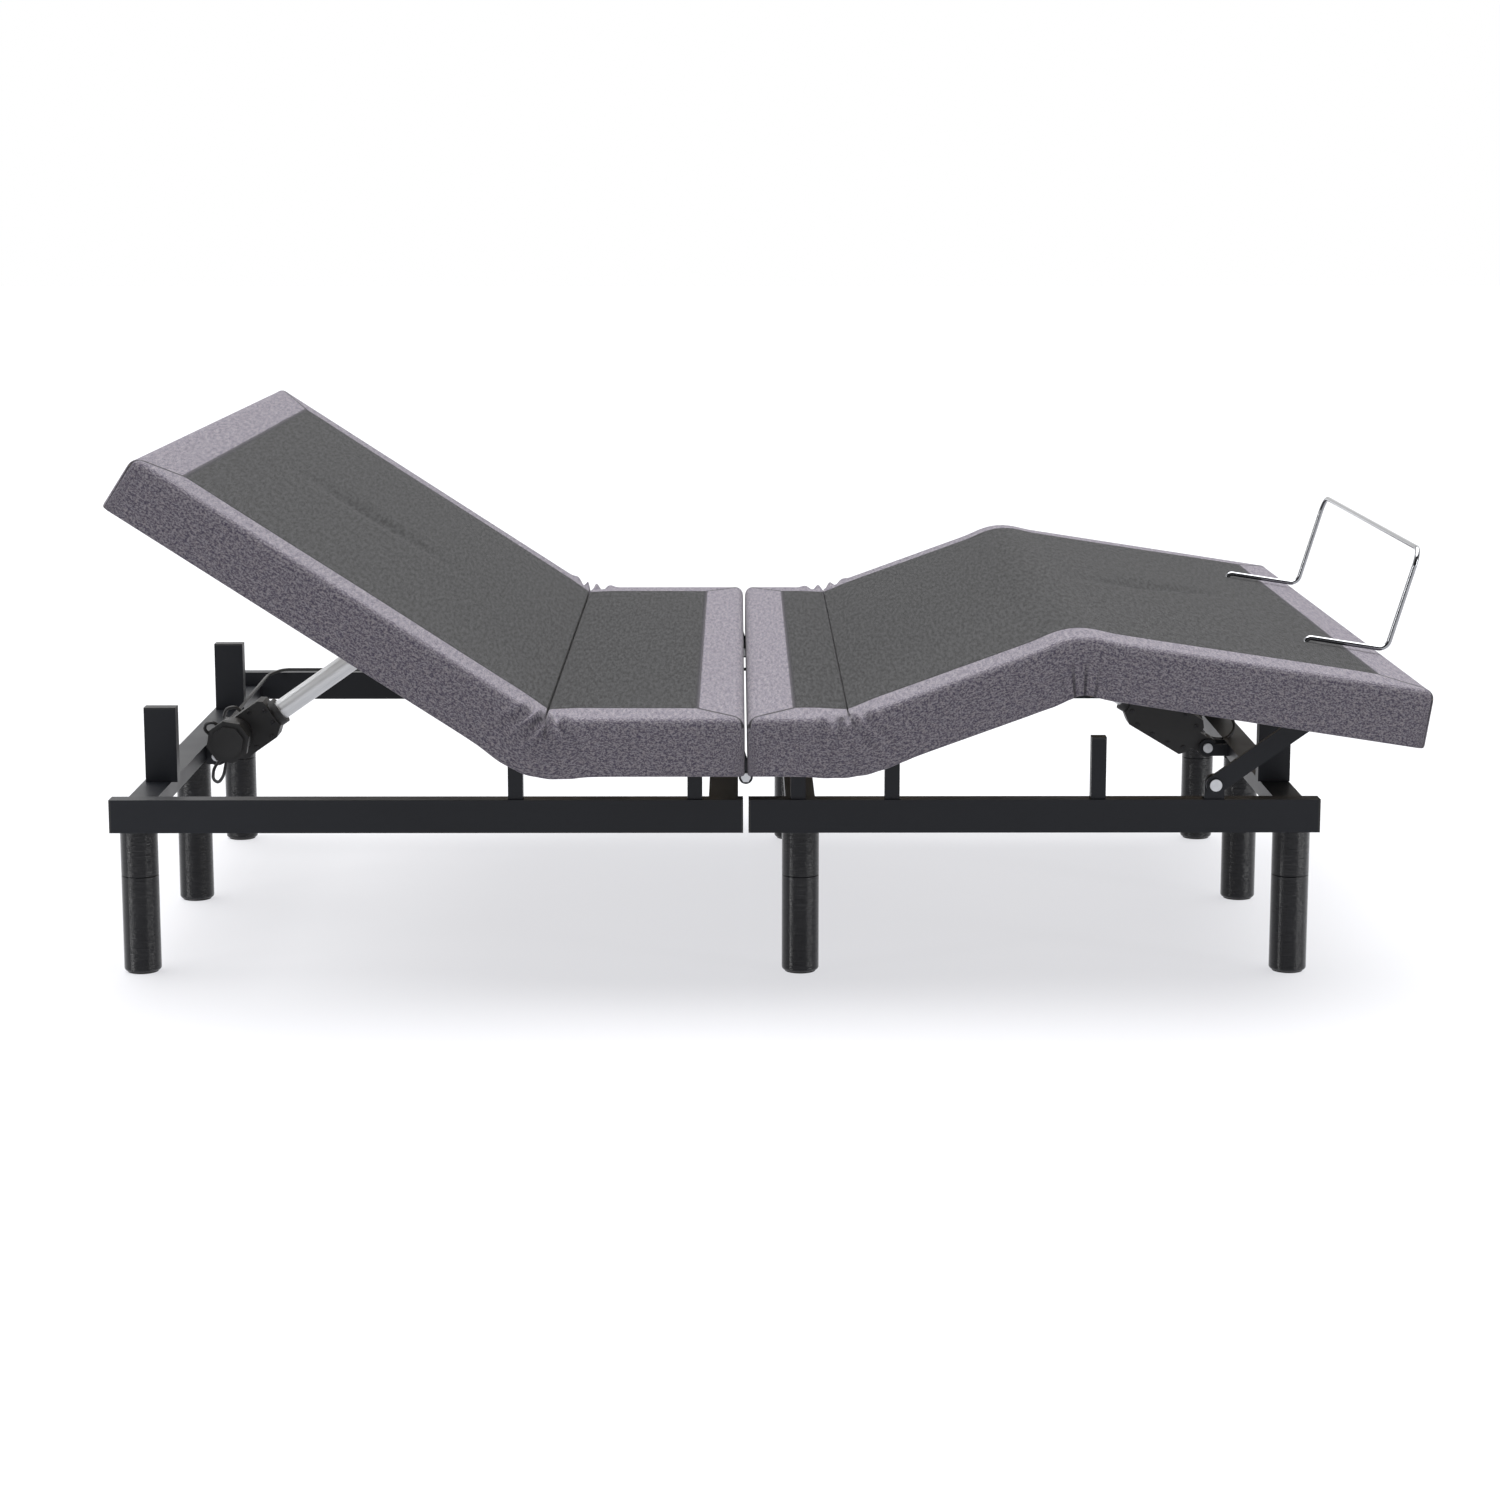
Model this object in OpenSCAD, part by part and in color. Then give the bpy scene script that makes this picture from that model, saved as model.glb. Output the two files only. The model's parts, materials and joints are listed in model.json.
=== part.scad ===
// Adjustable bed base: a two-piece steel frame on eight legs, with a lifting head section,
// a fixed seat, a lifting thigh section and a foot section that follows it on two links.
// +X runs to the foot end, +Y is the sleeper's left side, +Z is up. The floor is Z = 0.

/* [Deck] */
// Width of the deck
bed_w = 1524; // [1370:2:1600]
// Height of the flat deck's top above the floor
deck_top = 436; // [430:1:445]
// Depth of the deck's side, from its top to the bottom of the skirt
deck_t = 87; // [80:1:90]
// Length of the head section, from its hinge to the head end
head_len = 706; // [690:1:720]
// Length of the foot section, from the knee hinge to the foot end
foot_len = 516; // [500:1:530]
// Distance from the thigh hinge to the knee hinge
thigh_len = 346; // [340:1:350]
// Distance from the centre gap to the head hinge
head_hinge = 301; // [296:1:306]
// Distance from the centre gap to the thigh hinge
thigh_hinge = 156; // [152:1:160]
// Gap between the two halves of the base
centre_gap = 8; // [4:1:12]

/* [Lifted position] */
// How far the head section is raised
head_raise = 33; // [0:1:55]
// How far the thigh section is raised
thigh_raise = 20; // [0:1:35]

/* [Lower frame] */
// Distance from the centre gap to the head end of the side rails
rail_head = 948; // [944:1:952]
// Distance from the centre gap to the foot end of the side rails
rail_foot = 856; // [854:1:862]
// Height of a side rail
rail_h = 50; // [45:1:50]
// Width of a side rail
rail_w = 30; // [28:1:32]
// Distance from the bed's centre line to a rail's centre
rail_y = 628; // [620:1:634]
// Wall of the rails and cross members
tube_wall = 2; // [1.5:0.5:3]
// Height of a leg
leg_h = 243; // [240:1:245]
// Diameter of a leg
leg_d = 57; // [50:1:60]
// Height of the lower, screwed-on piece of a leg
leg_low = 152; // [140:1:160]

/* [Upper frame] */
// Side of the square frame tubes
bar = 25; // [24:0.5:25]
// Thickness of the deck boards
board_t = 12; // [10:1:12]
// Thickness of the padding and fabric on top of the boards
pad_t = 12; // [12:1:14]
// Thickness of the padding and fabric down the sides
skin_t = 3; // [2:0.5:3]
// Thickness of the wooden side boards
side_t = 18; // [15:1:18]

/* [Retainer bar] */
// Diameter of the mattress retainer bar
bar_d = 8; // [7:0.5:9]
// Width of the retainer bar between its two uprights
bar_w = 818; // [780:2:840]
// Height of the retainer bar above the deck
bar_h = 164; // [150:1:170]

/* [Hidden] */

$fn = 64;
black = [0.09, 0.09, 0.10];
steel = [0.72, 0.73, 0.75];
timber = [0.78, 0.64, 0.45];
fabric = [0.39, 0.37, 0.43];
nylon = [0.12, 0.12, 0.13];

// Heights, from the top of the deck down
board_z = deck_top - pad_t - board_t;
frame_z = board_z - bar;
pivot_z = frame_z + bar / 2;
skirt_z = deck_top - deck_t;

// Places along the bed, measured from the centre gap
half_gap = centre_gap / 2;
head_x = -head_hinge;
thigh_x = thigh_hinge;
knee_x = thigh_hinge + thigh_len;
head_end = head_x - head_len;
foot_end = knee_x + foot_len;
foot_drop = 1.44 * thigh_raise;
leg_head_x = -929;
leg_mid_x = 84;
leg_foot_x = 836;
leg_y = 510;
post_x = [-343, -76, 78, 218, 525];
post_w = 22;
upright_x = [-918, 832];
upright_y = 350;
cross_w = 45;
cross_h = 25;
cross_head_x = -925;
cross_foot_x = 833;
cross_mid_x = 34;
moving_w = 24;

// The rams: rear pivots, angles at rest and lengths from pivot to pin
head_ram_x = -885;
head_ram_z = 249;
head_ram_a = 35;
head_ram_len = 450;
foot_ram_x = 776;
foot_ram_z = 262;
foot_ram_a = 31;
foot_ram_len = 404;
ram_pin_r = 5;
rod_pin_r = 6;

// The foot links: their lower bolts and the slots in the foot frame's lugs
link_x = 697.7;
link_z = 316.4;
link_a = 35.52;
link_len = 191.7;
link_y0 = 641.5;
link_t = 8;
lug_x = knee_x + 382;
lug_z = pivot_z - 32;

// Running clearance of a pin in its hole
run_fit = 0.05;

// Turns a point [x, z] about a hinge on the pivot line; a positive angle lifts the foot end
function lift_at(p, x, angle) = [
    x + (p[0] - x) * cos(angle) - (p[1] - pivot_z) * sin(angle),
    pivot_z + (p[0] - x) * sin(angle) + (p[1] - pivot_z) * cos(angle)
];

// The retainer bar's shape on the flat foot section
bar_r = bar_d / 2;
bar_lift = 5;
bar_z = deck_top + bar_lift + bar_r;
bar_in_x = foot_end - 131;
bar_out_x = foot_end - 3;
bar_tilt = 7.8;
bend_r = 16;
socket_bend_r = 8;
socket_depth = 22;
top_bend_r = 26;
half_bar = bar_w / 2;
bar_up = [bar_out_x - bend_r + bend_r * cos(bar_tilt), bar_z + bend_r - bend_r * sin(bar_tilt)];
bar_up_len = bar_h - bend_r - top_bend_r;
bar_top = bar_up_len + top_bend_r;
bar_crest = [bar_up[0] + bar_top * sin(bar_tilt), bar_up[1] + bar_top * cos(bar_tilt)];

// The whole bed is moved so that the frame's origin is under the middle of its box:
// the bar's crest is furthest to the foot end, the side rails' plugs to the head end
bar_reach = lift_at(lift_at(bar_crest, knee_x, -foot_drop), thigh_x, thigh_raise)[0] + bar_r;
mid_x = (bar_reach - rail_head) / 2;

// ---------- shapes ----------

module block(x, y, z) {
    translate([x[0], y[0], z[0]])
        cube([x[1] - x[0], y[1] - y[0], z[1] - z[0]]);
}

module both_sides() {
    children();
    mirror([0, 1, 0]) children();
}

// A round bar along Y between two Y values
module bar_y(x, z, r, y) {
    translate([x, y[1], z])
        rotate([90, 0, 0])
            cylinder(h = y[1] - y[0], r = r);
}

// A hexagon along Y, for nuts and bolt heads
module hex_y(x, z, r, y) {
    translate([x, y[1], z])
        rotate([90, 0, 0])
            cylinder(h = y[1] - y[0], r = r, $fn = 6);
}

// An outline in X and Z, made solid between two Y values
module plate_y(y) {
    translate([0, y[1], 0])
        rotate([90, 0, 0])
            linear_extrude(height = y[1] - y[0])
                children();
}

// Rectangular steel tubes, open at both ends
module tube_x(x, y, z, wall) {
    difference() {
        block(x, y, z);
        block([x[0] - 1, x[1] + 1], [y[0] + wall, y[1] - wall], [z[0] + wall, z[1] - wall]);
    }
}

module tube_y(x, y, z, wall) {
    difference() {
        block(x, y, z);
        block([x[0] + wall, x[1] - wall], [y[0] - 1, y[1] + 1], [z[0] + wall, z[1] - wall]);
    }
}

module tube_z(x, y, z, wall) {
    difference() {
        block(x, y, z);
        block([x[0] + wall, x[1] - wall], [y[0] + wall, y[1] - wall], [z[0] - 1, z[1] + 1]);
    }
}

// A slot with round ends, as an outline: from x0 to x1 between the ends' centres
module slot(x0, x1, z, r) {
    translate([x0, z]) circle(r = r);
    translate([x1, z]) circle(r = r);
    translate([x0, z - r]) square([x1 - x0, 2 * r]);
}

// ---------- where each moving body rests ----------

module at_bed() {
    translate([-mid_x, 0, 0]) children();
}

module turned(x, z, angle) {
    translate([x, 0, z])
        rotate([0, angle, 0])
            translate([-x, 0, -z])
                children();
}

module at_head() {
    at_bed() turned(head_x, pivot_z, head_raise) children();
}

module at_thigh() {
    at_bed() turned(thigh_x, pivot_z, -thigh_raise) children();
}

module at_foot() {
    at_thigh() turned(knee_x, pivot_z, foot_drop) children();
}

// A ram's own frame: X runs from the rear pivot along the ram
module at_head_ram() {
    at_bed() translate([head_ram_x, 0, head_ram_z]) rotate([0, -head_ram_a, 0]) children();
}

module at_foot_ram() {
    at_bed() translate([foot_ram_x, 0, foot_ram_z]) rotate([0, foot_ram_a, 0])
        mirror([1, 0, 0]) children();
}

// ---------- deck sections ----------

// Where a section's end lies at height z: it leans away from the joint above and below the hinge
function end_x(x, side, lean, z) =
    x + side * (z > pivot_z ? tan(lean[0]) * (z - pivot_z) : tan(lean[1]) * (pivot_z - z));

// The side outline of one layer of a deck section, between its two ends
module section_outline(x, lean0, lean1, z) {
    mid = z[0] < pivot_z && z[1] > pivot_z ? [pivot_z] : [];
    levels = concat([z[0]], mid, [z[1]]);
    count = len(levels);
    left = [for (i = [0 : count - 1]) [end_x(x[0], 1, lean0, levels[i]), levels[i]]];
    right = [for (i = [count - 1 : -1 : 0]) [end_x(x[1], -1, lean1, levels[i]), levels[i]]];
    polygon(concat(left, right));
}

half_w = bed_w / 2;
no_lean = [0, 0];
head_lean = [28.5, 0];
thigh_lean = [18.5, 0];
knee_lean = [0, 26];
joint_gap = 0.4;
head_span = [head_end, head_x - joint_gap];
seat_head_span = [head_x + joint_gap, -half_gap];
seat_foot_span = [half_gap, thigh_x - joint_gap];
thigh_span = [thigh_x + joint_gap, knee_x - joint_gap];
foot_span = [knee_x + joint_gap, foot_end];

// Deck board; ends says which ends have a wooden end board to sit flush with
module board(x, lean0, lean1) {
    color(timber)
        plate_y([-half_w + skin_t, half_w - skin_t])
            section_outline(x, lean0, lean1, [board_z, board_z + board_t]);
}

// The wooden side boards that hang under the deck board's edges
module side_boards(x, lean0, lean1) {
    color(timber)
        both_sides()
            plate_y([half_w - skin_t - side_t, half_w - skin_t])
                section_outline(x, lean0, lean1, [skirt_z + skin_t, board_z]);
}

// The wooden end board across the head or the foot
module end_board(x) {
    reach = half_w - skin_t - side_t;
    color(timber)
        block(x, [-reach, reach], [skirt_z + skin_t, board_z]);
}

// The two holes through the foot end's foam and board that the retainer bar drops into
module socket_holes() {
    both_sides()
        translate([bar_in_x, half_bar, board_z - 1])
            cylinder(h = board_t + pad_t + 2, r = bar_r + 0.3, $fn = 32);
}

// Foam and fabric: a layer over the board that turns down over both sides
module padding(x, lean0, lean1) {
    color(fabric) {
        plate_y([-half_w, half_w])
            section_outline(x, lean0, lean1, [board_z + board_t, deck_top]);
        both_sides()
            plate_y([half_w - skin_t, half_w])
                section_outline(x, lean0, lean1, [skirt_z, board_z + board_t]);
    }
}

// The padding's turned-down end
module end_padding(x) {
    color(fabric)
        block(x, [-half_w, half_w], [skirt_z, deck_top]);
}

head_board_x = [head_end + skin_t, head_x - joint_gap];
foot_board_x = [knee_x + joint_gap, foot_end - skin_t];
seat_head_board_x = [head_x + joint_gap, -half_gap - skin_t];
seat_foot_board_x = [half_gap + skin_t, thigh_x - joint_gap];

module head_board() { at_head() board(head_board_x, no_lean, head_lean); }
module seat_board_head() { at_bed() board(seat_head_board_x, head_lean, no_lean); }
module seat_board_foot() { at_bed() board(seat_foot_board_x, no_lean, thigh_lean); }
module thigh_board() { at_thigh() board(thigh_span, thigh_lean, knee_lean); }
module foot_board() {
    at_foot()
        difference() {
            board(foot_board_x, knee_lean, no_lean);
            socket_holes();
        }
}

module head_sides() {
    at_head() {
        side_boards(head_board_x, no_lean, head_lean);
        end_board([head_board_x[0], head_board_x[0] + side_t]);
    }
}
module seat_sides_head() { at_bed() side_boards(seat_head_board_x, head_lean, no_lean); }
module seat_sides_foot() { at_bed() side_boards(seat_foot_board_x, no_lean, thigh_lean); }
module thigh_sides() { at_thigh() side_boards(thigh_span, thigh_lean, knee_lean); }
module foot_sides() {
    at_foot() {
        side_boards(foot_board_x, knee_lean, no_lean);
        end_board([foot_board_x[1] - side_t, foot_board_x[1]]);
    }
}

module head_padding() {
    at_head() {
        padding(head_span, no_lean, head_lean);
        end_padding([head_end, head_end + skin_t]);
    }
}
module seat_padding_head() { at_bed() padding(seat_head_span, head_lean, no_lean); }
module seat_padding_foot() { at_bed() padding(seat_foot_span, no_lean, thigh_lean); }
module thigh_padding() { at_thigh() padding(thigh_span, thigh_lean, knee_lean); }
module foot_padding() {
    at_foot()
        difference() {
            union() {
                padding(foot_span, knee_lean, no_lean);
                end_padding([foot_end - skin_t, foot_end]);
            }
            socket_holes();
        }
}

// ---------- lower frame ----------

rail_z = [leg_h, leg_h + rail_h];
rail_in = rail_y - rail_w / 2;
plug_t = 3;

module rail(x) {
    color(black)
        tube_x(x, [rail_in, rail_in + rail_w], rail_z, tube_wall);
}

rail_head_span = [-rail_head + plug_t, -half_gap - plug_t];
rail_foot_span = [half_gap + plug_t, rail_foot - plug_t];
module rail_head_left() { at_bed() rail(rail_head_span); }
module rail_head_right() { at_bed() mirror([0, 1, 0]) rail(rail_head_span); }
module rail_foot_left() { at_bed() rail(rail_foot_span); }
module rail_foot_right() { at_bed() mirror([0, 1, 0]) rail(rail_foot_span); }

// A moulded plug: a flange over the tube's end and a spigot inside it
module rail_plug(x, dir) {
    in_y = [rail_in + tube_wall + 0.1, rail_in + rail_w - tube_wall - 0.1];
    in_z = [rail_z[0] + tube_wall + 0.1, rail_z[1] - tube_wall - 0.1];
    spigot = dir > 0 ? [x - 15, x] : [x, x + 15];
    flange = dir > 0 ? [x, x + plug_t] : [x - plug_t, x];
    color(nylon) {
        block(spigot, in_y, in_z);
        block(flange, [rail_in, rail_in + rail_w], rail_z);
    }
}

module rail_plugs() {
    at_bed() both_sides() {
        rail_plug(rail_head_span[0], -1);
        rail_plug(rail_head_span[1], 1);
        rail_plug(rail_foot_span[0], -1);
        rail_plug(rail_foot_span[1], 1);
    }
}

// A cross member between the side rails, drilled for the studs of the legs at leg_ys
module cross_member(x, leg_x, leg_ys) {
    color(black)
        difference() {
            tube_y([x - cross_w / 2, x + cross_w / 2], [-rail_in, rail_in],
                   [leg_h, leg_h + cross_h], tube_wall);
            for (y = leg_ys)
                translate([leg_x, y, leg_h - 1])
                    cylinder(h = tube_wall + 2, r = 5.5);
        }
}

// Two ears that hold a ram's rear pin, welded to a cross member
ear_y = [20, 25];
ear_r = 14;
module ram_ears(x, z, face_x) {
    lo = min(x, face_x);
    hi = max(x, face_x);
    color(black)
        both_sides()
            difference() {
                union() {
                    bar_y(x, z, ear_r, ear_y);
                    block([lo, hi], ear_y, [max(z - ear_r, leg_h - 8), leg_h + cross_h]);
                }
                bar_y(x, z, ram_pin_r + run_fit, [ear_y[0] - 1, ear_y[1] + 1]);
            }
}

module cross_head_end() {
    at_bed() {
        cross_member(cross_head_x, leg_head_x, [-leg_y, 0, leg_y]);
        ram_ears(head_ram_x, head_ram_z, cross_head_x + cross_w / 2);
    }
}
module cross_head_mid() { at_bed() cross_member(-cross_mid_x, 0, []); }
module cross_foot_mid() { at_bed() cross_member(leg_mid_x, leg_mid_x, [-leg_y, leg_y]); }
module cross_foot_end() {
    at_bed() {
        cross_member(cross_foot_x, leg_foot_x, [-leg_y, 0, leg_y]);
        ram_ears(foot_ram_x, foot_ram_z, cross_foot_x - cross_w / 2);
    }
}

// Wide uprights on the end cross members: the lifted sections come to rest on them
upright_w = 50;
upright_d = 25;
upright_top = frame_z - 3.5;
module end_uprights() {
    base = leg_h + cross_h;
    color(black)
        at_bed() both_sides()
            for (x = upright_x) {
                tube_z([x - upright_w / 2, x + upright_w / 2],
                       [upright_y - upright_d / 2, upright_y + upright_d / 2],
                       [base, upright_top], tube_wall);
            }
}

// Posts that carry the seat and the flat deck on the side rails
post_low_x = [post_x[1], post_x[2]];
post_rest_x = [post_x[0], post_x[3], post_x[4]];
module post(x, top) {
    w = post_w / 2;
    color(black) {
        tube_z([x - w, x + w], [rail_y - w, rail_y + w], [rail_z[1], top], 1.5);
    }
}
module seat_posts() {
    at_bed() both_sides() {
        for (x = post_low_x) post(x, frame_z);
        for (x = post_rest_x) post(x, upright_top);
    }
}

// Nylon rest pads on the open tops of the uprights and of the free posts
module rest_pad(x, y, w, d) {
    color(nylon) {
        block([x - w / 2, x + w / 2], [y - d / 2, y + d / 2], [upright_top, upright_top + 3]);
        block([x - w / 2 + 3, x + w / 2 - 3], [y - d / 2 + 3, y + d / 2 - 3],
              [upright_top - 8, upright_top]);
    }
}
module rest_pads() {
    at_bed() both_sides() {
        for (x = upright_x) rest_pad(x, upright_y, upright_w, upright_d);
        for (x = post_rest_x) rest_pad(x, rail_y, post_w, post_w);
    }
}

// ---------- legs ----------

leg_places = concat(
    [for (x = [leg_head_x, leg_foot_x], y = [-leg_y, 0, leg_y]) [x, y]],
    [for (y = [-leg_y, leg_y]) [leg_mid_x, y]]
);
leg_r = leg_d / 2;
glide_h = 2;
edge_r = 5;
stud_r = 5;

module at_legs() {
    at_bed()
        for (p = leg_places)
            translate([p[0], p[1], 0]) children();
}

// A turned leg piece with a rounded lower edge and a small chamfer on top
module leg_turning(z, low_r) {
    arc = [for (a = [0 : 15 : 90])
        [leg_r - low_r + low_r * sin(a), z[0] + low_r - low_r * cos(a)]];
    rotate_extrude($fn = 96)
        polygon(concat([[stud_r + run_fit, z[0]]], arc,
                       [[leg_r, z[1] - 1], [leg_r - 1, z[1]], [stud_r + run_fit, z[1]]]));
}

module leg_tubes() { color(black) at_legs() leg_turning([glide_h, leg_low], edge_r); }
module leg_collars() { color(black) at_legs() leg_turning([leg_low, leg_h], 1); }
module leg_glides() {
    color(nylon)
        at_legs()
            cylinder(h = glide_h, r = leg_r - edge_r);
}
module leg_studs() {
    color(steel)
        at_legs() {
            translate([0, 0, glide_h + 40])
                cylinder(h = leg_h + 15 - glide_h - 40, r = stud_r);
            translate([0, 0, leg_h + tube_wall])
                cylinder(h = 8, r = 9.5, $fn = 6);
        }
}

// ---------- upper frames ----------

arm_y = [rail_y - 12.5, rail_y + 12.5];
moving_y = [rail_y - moving_w / 2, rail_y + moving_w / 2];
weld = 0.2;
fork_t = 5;
fork_r = 12.4;
hinge_r = 5;
bar_wall = 2;

// Two plates beside a tube's end that hold a hinge pin; dir points from the tube to the pin
module fork(x, dir, y) {
    gap = [rail_y - 12.5, rail_y + 12.5];
    reach = dir * 52;
    for (p = [[gap[0] - fork_t, gap[0]], [gap[1], gap[1] + fork_t]])
        difference() {
            union() {
                bar_y(x, pivot_z, fork_r, p);
                block([min(x, x - reach), max(x, x - reach)], p,
                      [pivot_z - 12.5, pivot_z + 12.5]);
            }
            bar_y(x, pivot_z, hinge_r + run_fit, [p[0] - 1, p[1] + 1]);
        }
}

// A tube's end that turns on a hinge pin: a solid eye that the hollow tube runs into
module eye(x, dir) {
    difference() {
        union() {
            bar_y(x, pivot_z, bar / 2, moving_y);
            block([min(x, x + dir * 25), max(x, x + dir * 25)], moving_y,
                  [frame_z, frame_z + bar]);
        }
        bar_y(x, pivot_z, hinge_r + run_fit, [moving_y[0] - 1, moving_y[1] + 1]);
    }
}

// A long frame tube on each side
module long_tube(x, y) {
    tube_x(x, y, [frame_z, frame_z + bar], bar_wall);
}

// A frame tube across the bed, welded between the long tubes
module cross_bar(x, y) {
    tube_y([x - bar / 2, x + bar / 2], [-y + weld, y - weld], [frame_z, frame_z + bar], bar_wall);
}

module seat_frame_head() {
    color(black) at_bed() {
        both_sides() {
            long_tube([head_x + 20, -half_gap], arm_y);
            fork(head_x, -1);
        }
        for (x = [-half_gap - bar / 2, -238]) cross_bar(x, arm_y[0]);
    }
}

module seat_frame_foot() {
    color(black) at_bed() {
        both_sides() {
            long_tube([half_gap, thigh_x - 20], arm_y);
            fork(thigh_x, 1);
        }
        for (x = [half_gap + bar / 2, 92]) cross_bar(x, arm_y[0]);
    }
}

// Hanging plates with a slot that the rod's pin pushes in
lift_y = [21, 27];
lift_low = 24;
module lift_plates(x, z_top, slot_x, slot_z, slot_r) {
    both_sides()
        plate_y(lift_y)
            difference() {
                translate([x[0], slot_z - lift_low])
                    square([x[1] - x[0], z_top - slot_z + lift_low]);
                slot(slot_x[0], slot_x[1], slot_z, slot_r);
            }
}

// The rod pins' places on the flat deck, found by turning them back about the hinges
head_pin = [head_ram_x + head_ram_len * cos(head_ram_a), head_ram_z + head_ram_len * sin(head_ram_a)];
foot_pin = [foot_ram_x - foot_ram_len * cos(foot_ram_a), foot_ram_z + foot_ram_len * sin(foot_ram_a)];
head_slot = lift_at(head_pin, head_x, head_raise);
thigh_slot = lift_at(foot_pin, thigh_x, -thigh_raise);

head_bars = [upright_x[0], -676, -468];
module head_frame() {
    color(black) at_head() {
        both_sides() {
            long_tube([head_bars[0] - bar / 2, head_x - 25], moving_y);
            eye(head_x, -1);
        }
        for (x = head_bars) cross_bar(x, moving_y[0]);
        lift_plates([head_bars[1] + bar / 2 + weld, head_bars[2] - bar / 2 - weld], board_z - weld,
                    [head_slot[0] - 52, head_slot[0] + 2], head_slot[1], rod_pin_r + 7);
    }
}

thigh_bars = [345, 478];
module thigh_frame() {
    color(black) at_thigh() {
        both_sides() {
            long_tube([thigh_x + 25, knee_x - 20], moving_y);
            eye(thigh_x, 1);
            fork(knee_x, 1);
        }
        for (x = thigh_bars) cross_bar(x, moving_y[0]);
        lift_plates([thigh_bars[0] - bar / 2, thigh_bars[1] + bar / 2], frame_z - weld,
                    [thigh_slot[0] - 2, thigh_slot[0] + 28], thigh_slot[1], rod_pin_r + 3);
    }
}

foot_bars = [knee_x + 60, upright_x[1], foot_end - 56];
lug_y = [634, 640];
lug_depth = 17;
module foot_frame() {
    color(black) at_foot() {
        both_sides() {
            long_tube([knee_x + 25, foot_bars[2] + bar / 2], moving_y);
            eye(knee_x, 1);
            plate_y(lug_y)
                difference() {
                    translate([lug_x - 22, lug_z - lug_depth])
                        square([62, frame_z - weld - lug_z + lug_depth]);
                    slot(lug_x - 6.5, lug_x + 23, lug_z, rod_pin_r + 4);
                }
        }
        for (x = foot_bars) cross_bar(x, moving_y[0]);
    }
}

// ---------- centre joint of the two halves ----------

ear_z = 328;
ear_round = 10.5;
bolt_r = 4;
head_ear_y = [arm_y[1], arm_y[1] + 5];
foot_ear_y = [arm_y[1] - 5.2, arm_y[1] - 0.2];

module centre_ear(side, y, top) {
    near = side * half_gap;
    far = side * (half_gap + bar);
    plate_y(y)
        difference() {
            union() {
                translate([0, ear_z]) circle(r = ear_round);
                polygon([[-side * ear_round, ear_z], [side * ear_round, ear_z],
                         [far, top - 30], [far, top], [near, top], [near, top - 30]]);
            }
            translate([0, ear_z]) circle(r = bolt_r + run_fit);
        }
}

module centre_ears() {
    color(black) at_bed() both_sides() {
        centre_ear(-1, head_ear_y, frame_z + 18);
        centre_ear(1, foot_ear_y, frame_z);
    }
}

module centre_bolts() {
    color(steel) at_bed() both_sides() {
        bar_y(0, ear_z, bolt_r, [foot_ear_y[0] - 8, head_ear_y[1]]);
        hex_y(0, ear_z, 7.5, [head_ear_y[1], head_ear_y[1] + 5.5]);
        hex_y(0, ear_z, 7.5, [foot_ear_y[0] - 6.5, foot_ear_y[0]]);
    }
}

// ---------- hinge pins, links ----------

module hinge_pin(x) {
    fork_y = [rail_y - 12.5 - fork_t, rail_y + 12.5 + fork_t];
    bar_y(x, pivot_z, hinge_r, [fork_y[0] - 5, fork_y[1] + 0.5]);
    bar_y(x, pivot_z, 9, [fork_y[1] + 0.5, fork_y[1] + 4.5]);
    hex_y(x, pivot_z, 9, [fork_y[0] - 6.5, fork_y[0] - 0.5]);
}

module hinge_pins() {
    color(steel) at_bed() both_sides() {
        hinge_pin(head_x);
        hinge_pin(thigh_x);
    }
}
module knee_pins() { color(steel) at_thigh() both_sides() hinge_pin(knee_x); }

module ram_pin(x, z) {
    bar_y(x, z, ram_pin_r, [-ear_y[1] - 1, ear_y[1] + 5]);
    bar_y(x, z, 8, [-ear_y[1] - 5, -ear_y[1] - 0.5]);
    hex_y(x, z, 8, [ear_y[1] + 0.5, ear_y[1] + 6]);
}
module ram_pins() {
    color(steel) at_bed() {
        ram_pin(head_ram_x, head_ram_z);
        ram_pin(foot_ram_x, foot_ram_z);
    }
}

bracket_y = [634, 640];
module link_brackets() {
    color(black) at_bed() both_sides() {
        difference() {
            union() {
                block([link_x - 15, link_x + 15], bracket_y, [rail_z[1], link_z]);
                bar_y(link_x, link_z, 15, bracket_y);
            }
            bar_y(link_x, link_z, rod_pin_r + run_fit, [bracket_y[0] - 1, bracket_y[1] + 1]);
        }
        block([link_x - 15, link_x + 15], [616, bracket_y[0]], [rail_z[1], rail_z[1] + 5]);
    }
}

module link_bolts() {
    out = link_y0 + link_t + 0.5;
    color(steel) at_bed() both_sides() {
        bar_y(link_x, link_z, rod_pin_r, [bracket_y[0] - 8, out]);
        bar_y(link_x, link_z, 9, [out, out + 5]);
        hex_y(link_x, link_z, 9.5, [bracket_y[0] - 7, bracket_y[0] - 0.5]);
    }
}

// The links' own frame: X runs from the lower bolt to the upper pin
module at_links() {
    at_bed() translate([link_x, 0, link_z]) rotate([0, -link_a, 0]) both_sides() children();
}

module foot_links() {
    color(black) at_links()
        plate_y([link_y0, link_y0 + link_t])
            difference() {
                union() {
                    circle(r = 14);
                    translate([link_len, 0]) circle(r = 14);
                    translate([0, -14]) square([link_len, 28]);
                }
                circle(r = rod_pin_r + run_fit);
                translate([link_len, 0]) circle(r = rod_pin_r + run_fit);
            }
}

module link_pins() {
    out = link_y0 + link_t;
    color(steel) at_links() {
        bar_y(link_len, 0, rod_pin_r, [lug_y[0] - 3, out + 0.5]);
        bar_y(link_len, 0, 9, [out + 0.5, out + 4.5]);
    }
}

// ---------- rams ----------

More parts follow.
